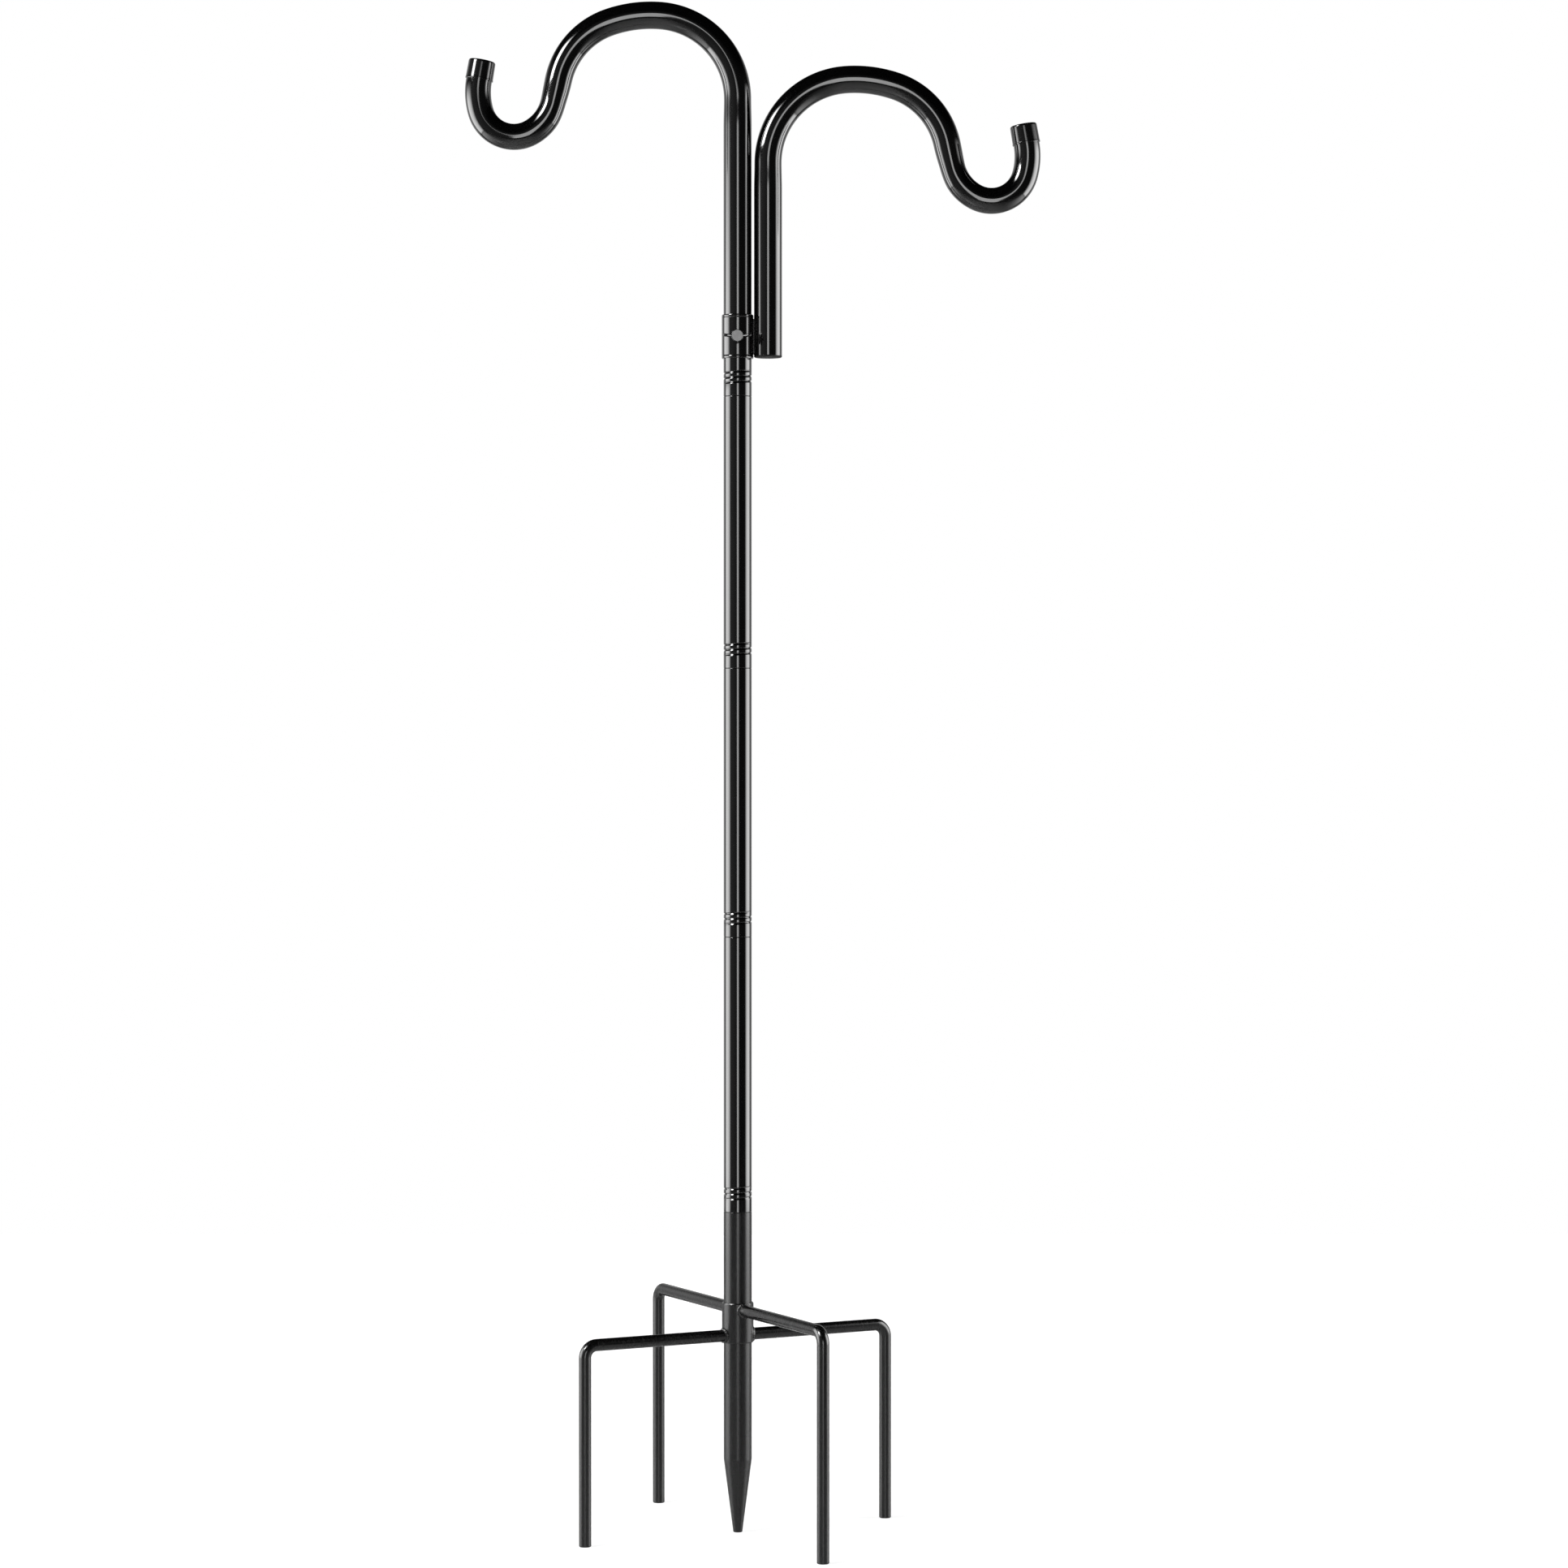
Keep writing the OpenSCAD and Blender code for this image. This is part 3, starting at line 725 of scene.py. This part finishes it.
def hook_rings(bends, foot, side, end_length, thinner=0.0):
    """Rings over all the bends of a hook, on its outside or, made thinner, on its inside."""
    flat_at = arch_length(bends) + bends.drop + 0.1 * bends.cradle_in_radius
    flat_reach = 0.009
    inner = 0.0 if side > 0 else pi
    rings = []
    for centre, heading, distance in hook_centre_line(bends, foot, side, end_length):
        flat = bends.dent * exp(-((distance - flat_at) / flat_reach) ** 2)
        radius = hook_radius(bends, distance) - thinner
        rings.append(bent_ring(centre, heading, radius, inner, flat))
    return rings


def upright_rings(bends, tube, x, foot, top, thinner=0.0, edge=0.0):
    """Rings of an upright's plain tube, its foot's edge eased, and of its narrowing on top."""
    wide = tube.diameter / 2 - thinner
    slim = bends.arch_diameter / 2 - thinner
    support = 0.001
    steps = 8
    rows = [(wide - edge, foot), (wide, foot + edge), (wide, foot + 3 * edge)] if edge else []
    rows += [(wide, foot + 4 * edge), (wide, top - bends.taper - support)]
    rows += [
        (wide + (slim - wide) * smooth_step(i / steps), top - bends.taper * (1 - i / steps))
        for i in range(steps)
    ]
    return [bent_ring(Vector((x, 0, z)), 0.0, r) for r, z in rows]


def arm_x(tube):
    """X of the second hook's upright."""
    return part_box("arm_hook_tube")[0].x + tube.diameter / 2


def both_hooks(tube, bends):
    """Each hook's name, where its first bend starts, and the side that it bends to."""
    return (
        ("tall_hook", (0, 0, low("tall_hook_tube") + bends.tall_straight), -1),
        ("arm_hook", (arm_x(tube), 0, low("arm_hook_tube") + bends.arm_straight), 1),
    )


def hook_wall(bends, tube, start, foot, side, end_length, edge=0.0):
    """Rings up the outside of a hook from a height on its upright, and back down its bore."""
    x, top = foot[0], foot[2]
    outside = upright_rings(bends, tube, x, start, top, edge=edge)
    outside += hook_rings(bends, foot, side, end_length)
    inside = upright_rings(bends, tube, x, start, top, tube.wall)
    inside += hook_rings(bends, foot, side, end_length, tube.wall)
    return outside + inside[::-1]


class GARDEN_OT_hooks(bpy.types.Operator):
    """Build the tall hook and the second hook from their chains of bends"""

    bl_idname = "garden_hook.hooks"
    bl_label = "Hooks"

    def execute(self, context):
        tube = context.scene.hook_tube
        bends = context.scene.hook_bends
        caps = context.scene.hook_caps
        end_length = caps.cap_length - caps.cap_top
        socket = tube.neck_length + tube.socket_spare
        foot_edge = 0.0002
        for hook, foot, side in both_hooks(tube, bends):
            node = f"{hook}_tube"
            base = low(node)
            if hook == "tall_hook":
                rings = socket_outside(tube, base)
                rings += hook_wall(bends, tube, base + socket, foot, side, end_length)
                rings += socket_inside(tube, base)
            else:
                rings = hook_wall(bends, tube, base, foot, side, end_length, foot_edge)
            place(node, skin(node, rings, closed=True), gloss_paint())
        return {"FINISHED"}


def cap_outline(caps, bends):
    """Profile of an end cap, standing on its lip, with a low dome on top."""
    inner = bends.cradle_diameter / 2
    outer = inner + caps.cap_wall
    lip = outer + 0.00015
    neck_in = 0.00005
    slope = 0.0004
    dome = 0.0004
    tip = outer - caps.cap_draft
    top = caps.cap_length
    corners = (
        (0, top - caps.cap_top, 0),
        (inner, top - caps.cap_top, 0.0004),
        (inner, 0, 0.0001),
        (lip, 0, 0.00018),
        (lip, caps.lip_height, 0.0003),
        (outer - neck_in, caps.lip_height + slope, 0.0003),
        (tip, top - dome, caps.cap_round),
        (tip * 0.55, top - dome / 6, 0.004),
        (0, top, 0),
    )
    return soften(corners, closed=False, steps=6)


class GARDEN_OT_end_caps(bpy.types.Operator):
    """Build the moulded caps over both hooks' ends"""

    bl_idname = "garden_hook.end_caps"
    bl_label = "End caps"

    def execute(self, context):
        bends = context.scene.hook_bends
        outline = cap_outline(context.scene.hook_caps, bends)
        for hook, foot, side in both_hooks(context.scene.hook_tube, bends):
            node = f"{hook}_cap"
            spot, heading = hook_end(bends, foot, side)
            placement = Matrix.Translation(spot) @ Matrix.Rotation(heading, 4, "Y")
            place(node, lathe(node, outline, placement, closed=False), moulded_plastic())
        return {"FINISHED"}


class GARDEN_OT_tube_plug(bpy.types.Operator):
    """Build the ribbed plug in the second hook's foot"""

    bl_idname = "garden_hook.tube_plug"
    bl_label = "Tube plug"

    def execute(self, context):
        tube = context.scene.hook_tube
        caps = context.scene.hook_caps
        radius = tube.diameter / 2
        bore = radius - tube.wall
        stem = bore - caps.plug_rib
        flange = caps.plug_flange
        base = low("arm_hook_tube")
        stem_length = high("arm_tube_plug") - base
        step = stem_length / (caps.plug_ribs + 1)
        bevel = 0.0007
        rib_rise = 0.0002
        corners = [
            (0, -flange, 0), (radius - bevel, -flange, 0.0004), (radius, -flange / 3, 0.0003),
            (radius, 0, 0.0001), (stem, 0, 0.0001),
        ]
        for i in range(1, caps.plug_ribs + 1):
            foot = i * step
            corners += [
                (stem, foot - rib_rise, 0), (bore, foot, 0.00008), (stem, foot + step / 2, 0)]
        corners += [(stem, stem_length, 0.0005), (0, stem_length, 0)]
        placement = Matrix.Translation((arm_x(tube), 0, base))
        mesh = lathe("arm_tube_plug", soften(corners, closed=False), placement, closed=False)
        place("arm_tube_plug", mesh, moulded_plastic("plug_black", rough=0.42, shine=0.0))
        return {"FINISHED"}


class GARDEN_OT_collar(bpy.types.Operator):
    """Build the sliding collar with its two bushes and the beads that hold the second hook"""

    bl_idname = "garden_hook.collar"
    bl_label = "Sliding collar"

    def execute(self, context):
        tube = context.scene.hook_tube
        collar = context.scene.hook_collar
        outer = across("collar_sleeve") / 2
        bottom, top = low("collar_sleeve"), high("collar_sleeve")
        inner = outer - collar.wall
        edge = 0.00014
        mesh = lathe("collar_sleeve", soften((
            (inner, bottom, edge / 2), (outer, bottom, edge),
            (outer, top, edge), (inner, top, edge / 2))))
        place("collar_sleeve", mesh, gloss_paint())
        self.build_bushes(tube, collar, outer, bottom, top)
        self.build_beads(tube, collar, outer, bottom, top)
        return {"FINISHED"}

    def build_bushes(self, tube, collar, outer, bottom, top):
        """Both bushes, the lower one upside down."""
        bore = tube.diameter / 2 + collar.bush_bore_gap
        sleeve = bore + collar.bush_wall
        lip = high("upper_bush") - top
        depth = top - low("upper_bush")
        tip = bore + collar.bush_tip_wall
        squareness = 0.4
        outline = soften((
            (bore, lip, 0.00005), (bore, -depth, 0.00012), (sleeve, -depth, 0.0002),
            (sleeve, collar.lip_gap, 0)), closed=False)
        steps = 10
        for i in range(steps + 1):
            t = pi / 2 * i / steps
            outline.append(Vector((
                tip + (outer - tip) * cos(t) ** squareness,
                collar.lip_gap + (lip - collar.lip_gap) * sin(t) ** squareness)))
        for node, at, way in (("upper_bush", top, 1), ("lower_bush", bottom, -1)):
            placement = Matrix.Translation((0, 0, at))
            if way < 0:
                placement = placement @ Matrix.Rotation(pi, 4, "X")
            place(node, lathe(node, outline, placement), nylon())

    def build_beads(self, tube, collar, outer, bottom, top):
        """The rippled beads in the two corners between the collar and the second hook."""
        radius = collar.bead_diameter / 2
        half_tube = tube.diameter / 2
        x = (outer + arm_x(tube) - half_tube) / 2
        y = sqrt((half_tube + radius / 2) ** 2 - half_tube ** 2)
        margin = 0.0012
        start, end = bottom + margin, top - margin
        rows = 160
        round_count = 28
        slant = 0.35
        blunt = 0.02
        beads = []
        for side in (-1, 1):
            rings = []
            for i in range(rows + 1):
                z = start + (end - start) * i / rows
                tapered = sqrt(min(1.0, min(z - start, end - z) / radius + blunt))
                ring = []
                for a in angles(round_count):
                    ripple = cos(TURN * (z / collar.bead_pitch + slant * cos(a)))
                    r = (radius + collar.bead_ripple * ripple) * tapered
                    ring.append((x + r * cos(a), side * y + r * sin(a), z))
                rings.append(ring)
            beads.append(skin(f"bead_{side}", rings, closed=False))
        place("collar_welds", stack(*beads), gloss_paint("gloss_weld", 0.15))


class GARDEN_OT_wing_screw(bpy.types.Operator):
    """Build the nut, the threaded shank and the cast wing head"""

    bl_idname = "garden_hook.wing_screw"
    bl_label = "Wing screw"

    def execute(self, context):
        screw = context.scene.hook_screw
        height = (low("wing_screw_head") + high("wing_screw_head")) / 2
        self.build_nut(screw, height)
        self.build_shank(screw, height)
        self.build_head(screw, height)
        return {"FINISHED"}

    def build_nut(self, screw, height):
        """The hexagon nut, chamfered outside and seated on the round collar."""
        face = -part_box("weld_nut")[0].y
        seat = across("collar_sleeve") / 2
        bore = screw.diameter / 2 + screw.gap
        flats = screw.nut_flats / 2
        past_corners = 2 * flats
        sunk = 0.0002
        chamfer = 0.0007
        bore_edge = 0.0003
        round_count = 72

        def ring(limit, depth):
            """Points round the hexagon, cut by a circle; with no depth they lie on the collar."""
            points = []
            for a in angles(round_count):
                r = min(flats / cos((a + pi / 6) % (pi / 3) - pi / 6), limit)
                x = r * cos(a)
                y = sqrt(seat ** 2 - x ** 2) - sunk if depth is None else face - depth
                points.append((x, -y, height + r * sin(a)))
            return points

        mesh = skin("weld_nut", [
            ring(bore, None), ring(past_corners, None),
            ring(past_corners, chamfer * 1.3), ring(past_corners, chamfer * 0.8),
            ring(flats * 1.06, chamfer * 0.4), ring(flats * 0.96, 0),
            ring(bore + bore_edge, 0), ring(bore, bore_edge),
        ], closed=True)
        mesh.set_sharp_from_angle(angle=radians(25))
        place("weld_nut", mesh, screw_paint())

    def build_shank(self, screw, height):
        """The screw's shank with its real thread, from its chamfered tip into the head."""
        near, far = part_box("wing_screw_shank")
        radius = screw.diameter / 2
        run = far.y - near.y
        row_height = 0.0001
        tip_length = 0.0008
        tip_share = 0.7
        flank = 2.5
        rows = round(run / row_height)
        rings = []
        for i in range(rows + 1):
            along = run * i / rows
            ease = tip_share + (1 - tip_share) * smooth_step(along / tip_length)
            ring = []
            for a in angles(48):
                phase = (along / screw.pitch - a / TURN) % 1.0
                cut_in = screw.thread_depth * max(0.0, 1 - abs(phase - 0.5) * flank)
                r = (radius - cut_in) * ease
                ring.append((r * cos(a), far.y - along, height + r * sin(a)))
            rings.append(ring)
        place("wing_screw_shank", skin("wing_screw_shank", rings, closed=False), screw_paint())

    def build_head(self, screw, height):
        """The head: a turned hub with a flat face, and two cast wings."""
        near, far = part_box("wing_screw_head")
        reach = far.y - near.y
        half_span = (far.x - near.x) / 2
        hub = screw.hub_diameter / 2
        bore = screw.diameter / 2 + screw.gap
        draft = 0.0002
        floor = screw.hub_length - screw.hub_floor
        turn = Matrix.Translation((0, far.y, height)) @ Matrix.Rotation(pi / 2, 4, "X")
        outline = soften((
            (0, floor, 0), (bore, floor, 0), (bore, 0, 0.0002), (hub - draft, 0, 0.0006),
            (hub, screw.hub_length, screw.hub_edge), (0, screw.hub_length, 0)), closed=False)
        shells = [lathe("hub", outline, turn, closed=False, count=64)]
        shells += [self.wing(screw, turn, side, half_span, reach, hub) for side in (-1, 1)]
        place("wing_screw_head", stack(*shells), screw_paint())

    def wing(self, screw, turn, side, half_span, reach, hub):
        """One wing: a flat leaf from the hub to its round ear, rounded along its rim."""
        half = screw.wing_thickness / 2
        ear = screw.ear_radius
        middle = Vector((half_span - ear, reach - ear))
        root_depth = 0.0015
        root = Vector((hub - root_depth, screw.hub_length / 2))
        root_half = screw.hub_length * 0.36
        bow = 0.0008
        ear_from = 0.8
        along = (middle - root).normalized()
        over = Vector((-along.y, along.x))
        steps = 24
        rings = []
        for i in range(steps + 1):
            t = i / steps
            end = max(0.0, (t - ear_from) / (1 - ear_from))
            swing = sin(end * pi / 2)
            centre = root.lerp(middle, t)
            centre.x += bow * sin(pi * t)
            centre += along * ear * swing
            breadth = root_half + (ear - root_half) * smooth_step(t * 1.3)
            breadth *= sqrt(max(0.02, 1 - swing ** 2))
            thick = half * (1 - 0.15 * end) * sqrt(max(0.05, 1 - (end * 0.95) ** 4))
            ring = []
            for a in angles(24):
                deep = thick * abs(sin(a)) ** 0.8 * (1 if sin(a) >= 0 else -1)
                spot = centre + over * (breadth * cos(a))
                ring.append(turn @ Vector((side * spot.x, deep * side, spot.y)))
            rings.append(ring)
        return skin("wing", rings, closed=False)


def fork_facts(node, base, slope):
    """Bar height, reach and turn of a fork, from its box; slope is the sign of its turn."""
    _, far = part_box(node)
    rod = base.rod_diameter / 2
    wide, deep = far.x - rod, far.y - rod
    return far.z - rod, hypot(wide, deep), slope * atan2(deep, wide)


FORKS = (("upper_fork", -1), ("lower_fork", 1))


class GARDEN_OT_base(bpy.types.Operator):
    """Build the stake, its point and hub, both forks and the beads that join them"""

    bl_idname = "garden_hook.base"
    bl_label = "Base"

    def execute(self, context):
        tube = context.scene.hook_tube
        base = context.scene.hook_base
        self.build_stake(tube, base)
        self.build_hub(tube, base)
        for node, slope in FORKS:
            self.build_fork(base, node, slope)
        self.build_beads(base)
        return {"FINISHED"}

    def build_stake(self, tube, base):
        """The stake's tube with its screwed neck, and the turned point plugged into it."""
        radius = tube.diameter / 2
        bore = radius - tube.wall
        start = low("ground_stake")
        shoulder = high("ground_stake") - tube.neck_length
        seam = 0.00004
        rings = plain_rings(((radius - seam, 0), (radius, seam * 1.5), (radius, seam * 10)), start)
        rings += neck(tube, shoulder)
        rings += plain_rings(((bore, 0),), start)
        place("ground_stake", skin("ground_stake", rings, closed=True), satin_paint())
        tip = base.tip_diameter / 2
        plug_top = start + base.plug_length
        outline = soften((
            (0, 0, 0), (tip, 0, 0.0006), (radius - seam / 2, start, 0.00012),
            (bore, start, 0.0001), (bore, plug_top, 0.001), (0, plug_top, 0)), closed=False)
        place("stake_point", lathe("stake_point", outline, closed=False), satin_paint())

    def build_hub(self, tube, base):
        """The sleeve that both bars pass through."""
        outer = across("hub_sleeve") / 2
        inner = tube.diameter / 2 + base.hub_gap
        bottom, top = low("hub_sleeve"), high("hub_sleeve")
        edge = base.hub_edge
        mesh = lathe("hub_sleeve", soften((
            (inner, bottom, 0), (outer - edge, bottom, 0.0001), (outer, bottom + 2 * edge, 0.0005),
            (outer, top - 2 * edge, 0.0005), (outer - edge, top, 0.0001), (inner, top, 0))))
        place("hub_sleeve", mesh, satin_paint())

    def build_fork(self, base, node, slope):
        """One rod bent into two legs, with its ends cut off square and eased."""
        bar, reach, turn = fork_facts(node, base, slope)
        rod = base.rod_diameter / 2
        bend = base.fork_bend
        leg = bar - bend
        ease = 0.0006
        steps = 14
        half = [((-reach, z, r), 0.0)
                for z, r in ((0, rod - ease), (ease, rod), (2 * ease, rod), (leg, rod))]
        for i in range(1, steps + 1):
            swing = pi / 2 * i / steps
            half.append(((-reach + bend * (1 - cos(swing)), leg + bend * sin(swing), rod), swing))
        other = [((-x, z, r), pi - heading) for (x, z, r), heading in half[::-1]]
        turned = Matrix.Rotation(turn, 4, "Z")
        rings = [
            [turned @ p for p in bent_ring(Vector((x, 0, z)), heading, r)]
            for (x, z, r), heading in half + other
        ]
        place(node, skin(node, rings, closed=False),
              satin_paint("fork_black_paint", shade=0.3, coat=(0.65, 0.12)))

    def build_beads(self, base):
        """The rippled saddle beads where the bars leave the hub."""
        rod = base.rod_diameter / 2
        hub = across("hub_sleeve") / 2
        margin = 0.0002
        floor, ceiling = low("hub_sleeve") + margin, high("hub_sleeve") - margin
        round_count = 176
        beads = []
        for node, slope in FORKS:
            bar, _, turn = fork_facts(node, base, slope)
            for way in (0, pi):
                placement = Matrix.Rotation(turn + way, 4, "Z")
                rings = []
                for a in angles(round_count):
                    ring = []
                    for off, along in self.bead_section(base, rod, hub, a):
                        z = min(max(bar + off * sin(a), floor), ceiling)
                        ring.append(placement @ Vector((along, off * cos(a), z)))
                    rings.append(ring)
                beads.append(skin(f"bead_{node}_{way:.0f}", rings, closed=True))
        place("fork_welds", stack(*beads), satin_paint("satin_weld", 0.15))

    def bead_section(self, base, rod, hub, a):
        """Points (distance from the bar's axis, distance along it) round one bead's section."""
        ripple = 0.045 * cos(base.bead_ripples * a)
        lumps = 0.05 * sin(3 * a)
        wide = base.bead_width * (1 + ripple + lumps)
        sunk = 0.0004
        fullness = 0.85
        steps = 8

        def on_hub(off):
            """Where the hub's surface is along the bar, at a distance from the bar's axis."""
            return sqrt(hub ** 2 - (off * cos(a)) ** 2)

        points = []
        for i in range(steps + 1):
            t = pi / 2 * i / steps
            off = rod + wide * sin(t) ** fullness
            points.append((off, on_hub(off) + wide * cos(t) ** fullness))
        return points + [
            (rod + wide, on_hub(rod + wide) - sunk), (rod - sunk, on_hub(rod) - sunk),
            (rod - sunk, on_hub(rod) + wide)]


def stage_plane(name, wide, tall):
    x, y = wide / 2, tall / 2
    mesh = bpy.data.meshes.new(name)
    mesh.from_pydata([(-x, -y, 0), (x, -y, 0), (x, y, 0), (-x, y, 0)], [], [(0, 1, 2, 3)])
    plane = bpy.data.objects.new(name, mesh)
    bpy.context.scene.collection.objects.link(plane)
    material = bpy.data.materials.new(name)
    material.use_nodes = True
    mesh.materials.append(material)
    return plane, Nodes(material.node_tree, cleared=True)


def soft_panel(name, spot, aim, wide, tall, radiance, soft, foot_level=0.0):
    """A glowing studio panel that faces a point. Its glow fades over the shares of its width and
    height that soft gives: at its left, its right, its foot and its top, as seen from behind the
    panel. A share of it, foot_level, is left at the foot."""
    panel, kit = stage_plane(name, wide, tall)
    panel.location = spot
    panel.rotation_euler = (Vector(aim) - Vector(spot)).to_track_quat("-Z", "Y").to_euler()
    panel.visible_camera = False
    across_it = kit.axes(kit.where("Generated"))
    left, right, foot, top = soft
    fades = (
        ("X", (0.0, left), (0.0, 1.0)), ("X", (1 - right, 1.0), (1.0, 0.0)),
        ("Y", (0.0, foot), (foot_level, 1.0)), ("Y", (1 - top, 1.0), (1.0, 0.0)),
    )
    glow = radiance
    for axis, span, levels in fades:
        glow = kit.times(kit.spread(across_it[axis], span, levels), glow)
    kit.end("ShaderNodeOutputMaterial",
            kit.add("ShaderNodeEmission", Color=grey(1), Strength=glow))


class GARDEN_OT_stage(bpy.types.Operator):
    """Build the floor, the soft panels, the room and the camera"""

    bl_idname = "garden_hook.stage"
    bl_label = "Stage"

    def execute(self, context):
        studio = context.scene.hook_studio
        self.build_camera(studio)
        self.build_floor(studio)
        self.build_panels(studio)
        self.build_room(studio)
        context.scene.view_settings.view_transform = "Standard"
        return {"FINISHED"}

    def build_camera(self, studio):
        """The camera at the photograph's place, looking slightly down."""
        view = bpy.data.cameras.new("camera")
        view.sensor_fit = "HORIZONTAL"
        view.sensor_width = 36
        view.lens = studio.lens
        view.clip_end = 50
        camera = bpy.data.objects.new("camera", view)
        bpy.context.scene.collection.objects.link(camera)
        camera.location = (studio.camera_side, -studio.camera_distance, studio.camera_height)
        camera.rotation_euler = (pi / 2 - studio.camera_tilt, 0, 0)
        bpy.context.scene.camera = camera

    def build_floor(self, studio):
        """A pale floor that the camera sees as white, apart from the object's soft shadow and a
        painted shade round the pole. To reflections it shows painted light: glowing pools below the
        side panels and a lighter middle round the pole.
        """
        floor, kit = stage_plane("floor", studio.floor_size, studio.floor_size)
        where = kit.where()
        off_x, off_y = (kit.calc("ABSOLUTE", kit.axes(where)[axis]) for axis in "XY")
        # Painted pools of light: the floor glows below the side panels to glossy rays only, so the
        # tubes reflect a lit floor there
        beside = kit.spread(off_x, (0.6, 1.9), (0.0, studio.painted_floor_pools))
        level = kit.spread(off_y, (0.5, 1.3), (1.0, 0.0))
        glossy = kit.add("ShaderNodeLightPath").outputs["Is Glossy Ray"]
        # Painted light: the floor's colour is lighter near the pole than farther out to its sides, a
        # pool of light painted into the colour that the tubes reflect
        middle = kit.spread(off_x, (0.25, 0.9), (1.0, 0.0))
        pale = kit.add(
            "ShaderNodeBsdfPrincipled", Roughness=0.3, Emission_Color=grey(1),
            Emission_Strength=kit.times(beside, level, glossy),
            Base_Color=kit.mix(middle, grey(0.26), grey(0.52)))
        # Painted shade: the white glow that the camera sees is weaker near the pole, so the floor
        # greys round the object as well as in its real shadow
        from_pole = kit.add("ShaderNodeVectorMath", operation="LENGTH")
        kit.put(from_pole.inputs[0], where)
        lit = kit.spread(from_pole.outputs["Value"], (0.4, 1.4), (0.84, 1.0))
        seen = kit.add("ShaderNodeAddShader")
        kit.put(seen.inputs[0], kit.add("ShaderNodeBsdfDiffuse", Color=grey(0.3)).outputs[0])
        kit.put(seen.inputs[1],
                kit.add("ShaderNodeEmission", Color=grey(1), Strength=lit).outputs[0])
        kit.end("ShaderNodeOutputMaterial", pale, to_camera=seen)

    def build_panels(self, studio):
        """Two tall side panels, a strip behind the camera and the high key on the left."""
        side = 1.9
        foot_level = studio.painted_floor_pools / studio.side_radiance
        soft_panel("left_panel", spot=(-side, -0.047, 0.9), aim=(0, -0.047, 0.9),
                   wide=2.467, tall=1.8, radiance=studio.side_radiance,
                   soft=(0.345, 0.424, 0.06, 0.3), foot_level=foot_level)
        soft_panel("right_panel", spot=(side, 0.112, 0.97), aim=(0, 0.112, 0.97),
                   wide=2.244, tall=1.94, radiance=studio.side_radiance,
                   soft=(0.39, 0.416, 0.06, 0.23), foot_level=foot_level)
        soft_panel("front_strip", spot=(0.24, -8.0, 0.56), aim=(0.24, 0, 0.56),
                   wide=2.29, tall=4.52, radiance=studio.front_radiance,
                   soft=(0.15, 0.15, 0.1, 0.115))
        soft_panel("key_panel", spot=(-side, -1.1, 2.52), aim=(0, 0, 1.3),
                   wide=1.2, tall=1.22, radiance=studio.key_radiance,
                   soft=(0.4, 0.4, 0.07, 0.5))

    def build_room(self, studio):
        """White to the camera; to the object a dark room with a paler wall behind."""
        world = bpy.data.worlds.new("studio_room")
        world.use_nodes = True
        kit = Nodes(world.node_tree, cleared=True)
        way = kit.axes(kit.where("Generated"))
        behind = kit.spread(way["Y"], (0.35, 0.7), (0.0, 1.0))
        below_ceiling = kit.spread(way["Z"], (0.25, 0.55), (1.0, 0.0))
        sides = kit.spread(way["X"], (-0.9, 0.3), (studio.left_room, studio.room))
        wall = kit.times(behind, below_ceiling, studio.back_wall)
        lit = kit.calc("ADD", wall, kit.times(sides, below_ceiling))
        kit.end("ShaderNodeOutputWorld",
                kit.add("ShaderNodeBackground", Color=grey(1), Strength=lit),
                to_camera=kit.add("ShaderNodeBackground", Color=grey(1), Strength=1.0))
        bpy.context.scene.world = world


OPERATORS = (
    GARDEN_OT_pole_sections, GARDEN_OT_hooks, GARDEN_OT_end_caps, GARDEN_OT_tube_plug,
    GARDEN_OT_collar, GARDEN_OT_wing_screw, GARDEN_OT_base, GARDEN_OT_stage,
)


class GARDEN_PT_hook(bpy.types.Panel):
    """Lists the sizes and the pieces of the double shepherds hook."""

    bl_idname = "GARDEN_PT_hook"
    bl_label = "Double shepherds hook"
    bl_space_type = "VIEW_3D"
    bl_region_type = "UI"
    bl_category = "Garden hook"

    def draw(self, context):
        for operator in OPERATORS:
            self.layout.operator(operator.bl_idname)
        for key, group in GROUPS.items():
            box = self.layout.box()
            box.label(text=group.__doc__)
            for name in group.__annotations__:
                box.prop(getattr(context.scene, key), name)


def register():
    """Registers the sizes, the operators and the panel."""
    for key, group in GROUPS.items():
        bpy.utils.register_class(group)
        setattr(bpy.types.Scene, key, PointerProperty(type=group))
    for thing in (*OPERATORS, GARDEN_PT_hook):
        bpy.utils.register_class(thing)


def unregister():
    """Takes them all away again."""
    for thing in (GARDEN_PT_hook, *reversed(OPERATORS)):
        bpy.utils.unregister_class(thing)
    for key, group in reversed(GROUPS.items()):
        delattr(bpy.types.Scene, key)
        bpy.utils.unregister_class(group)


def main():
    """Builds every piece."""
    register()
    for operator in OPERATORS:
        group, name = operator.bl_idname.split(".")
        getattr(getattr(bpy.ops, group), name)()


if __name__ == "__main__":
    main()
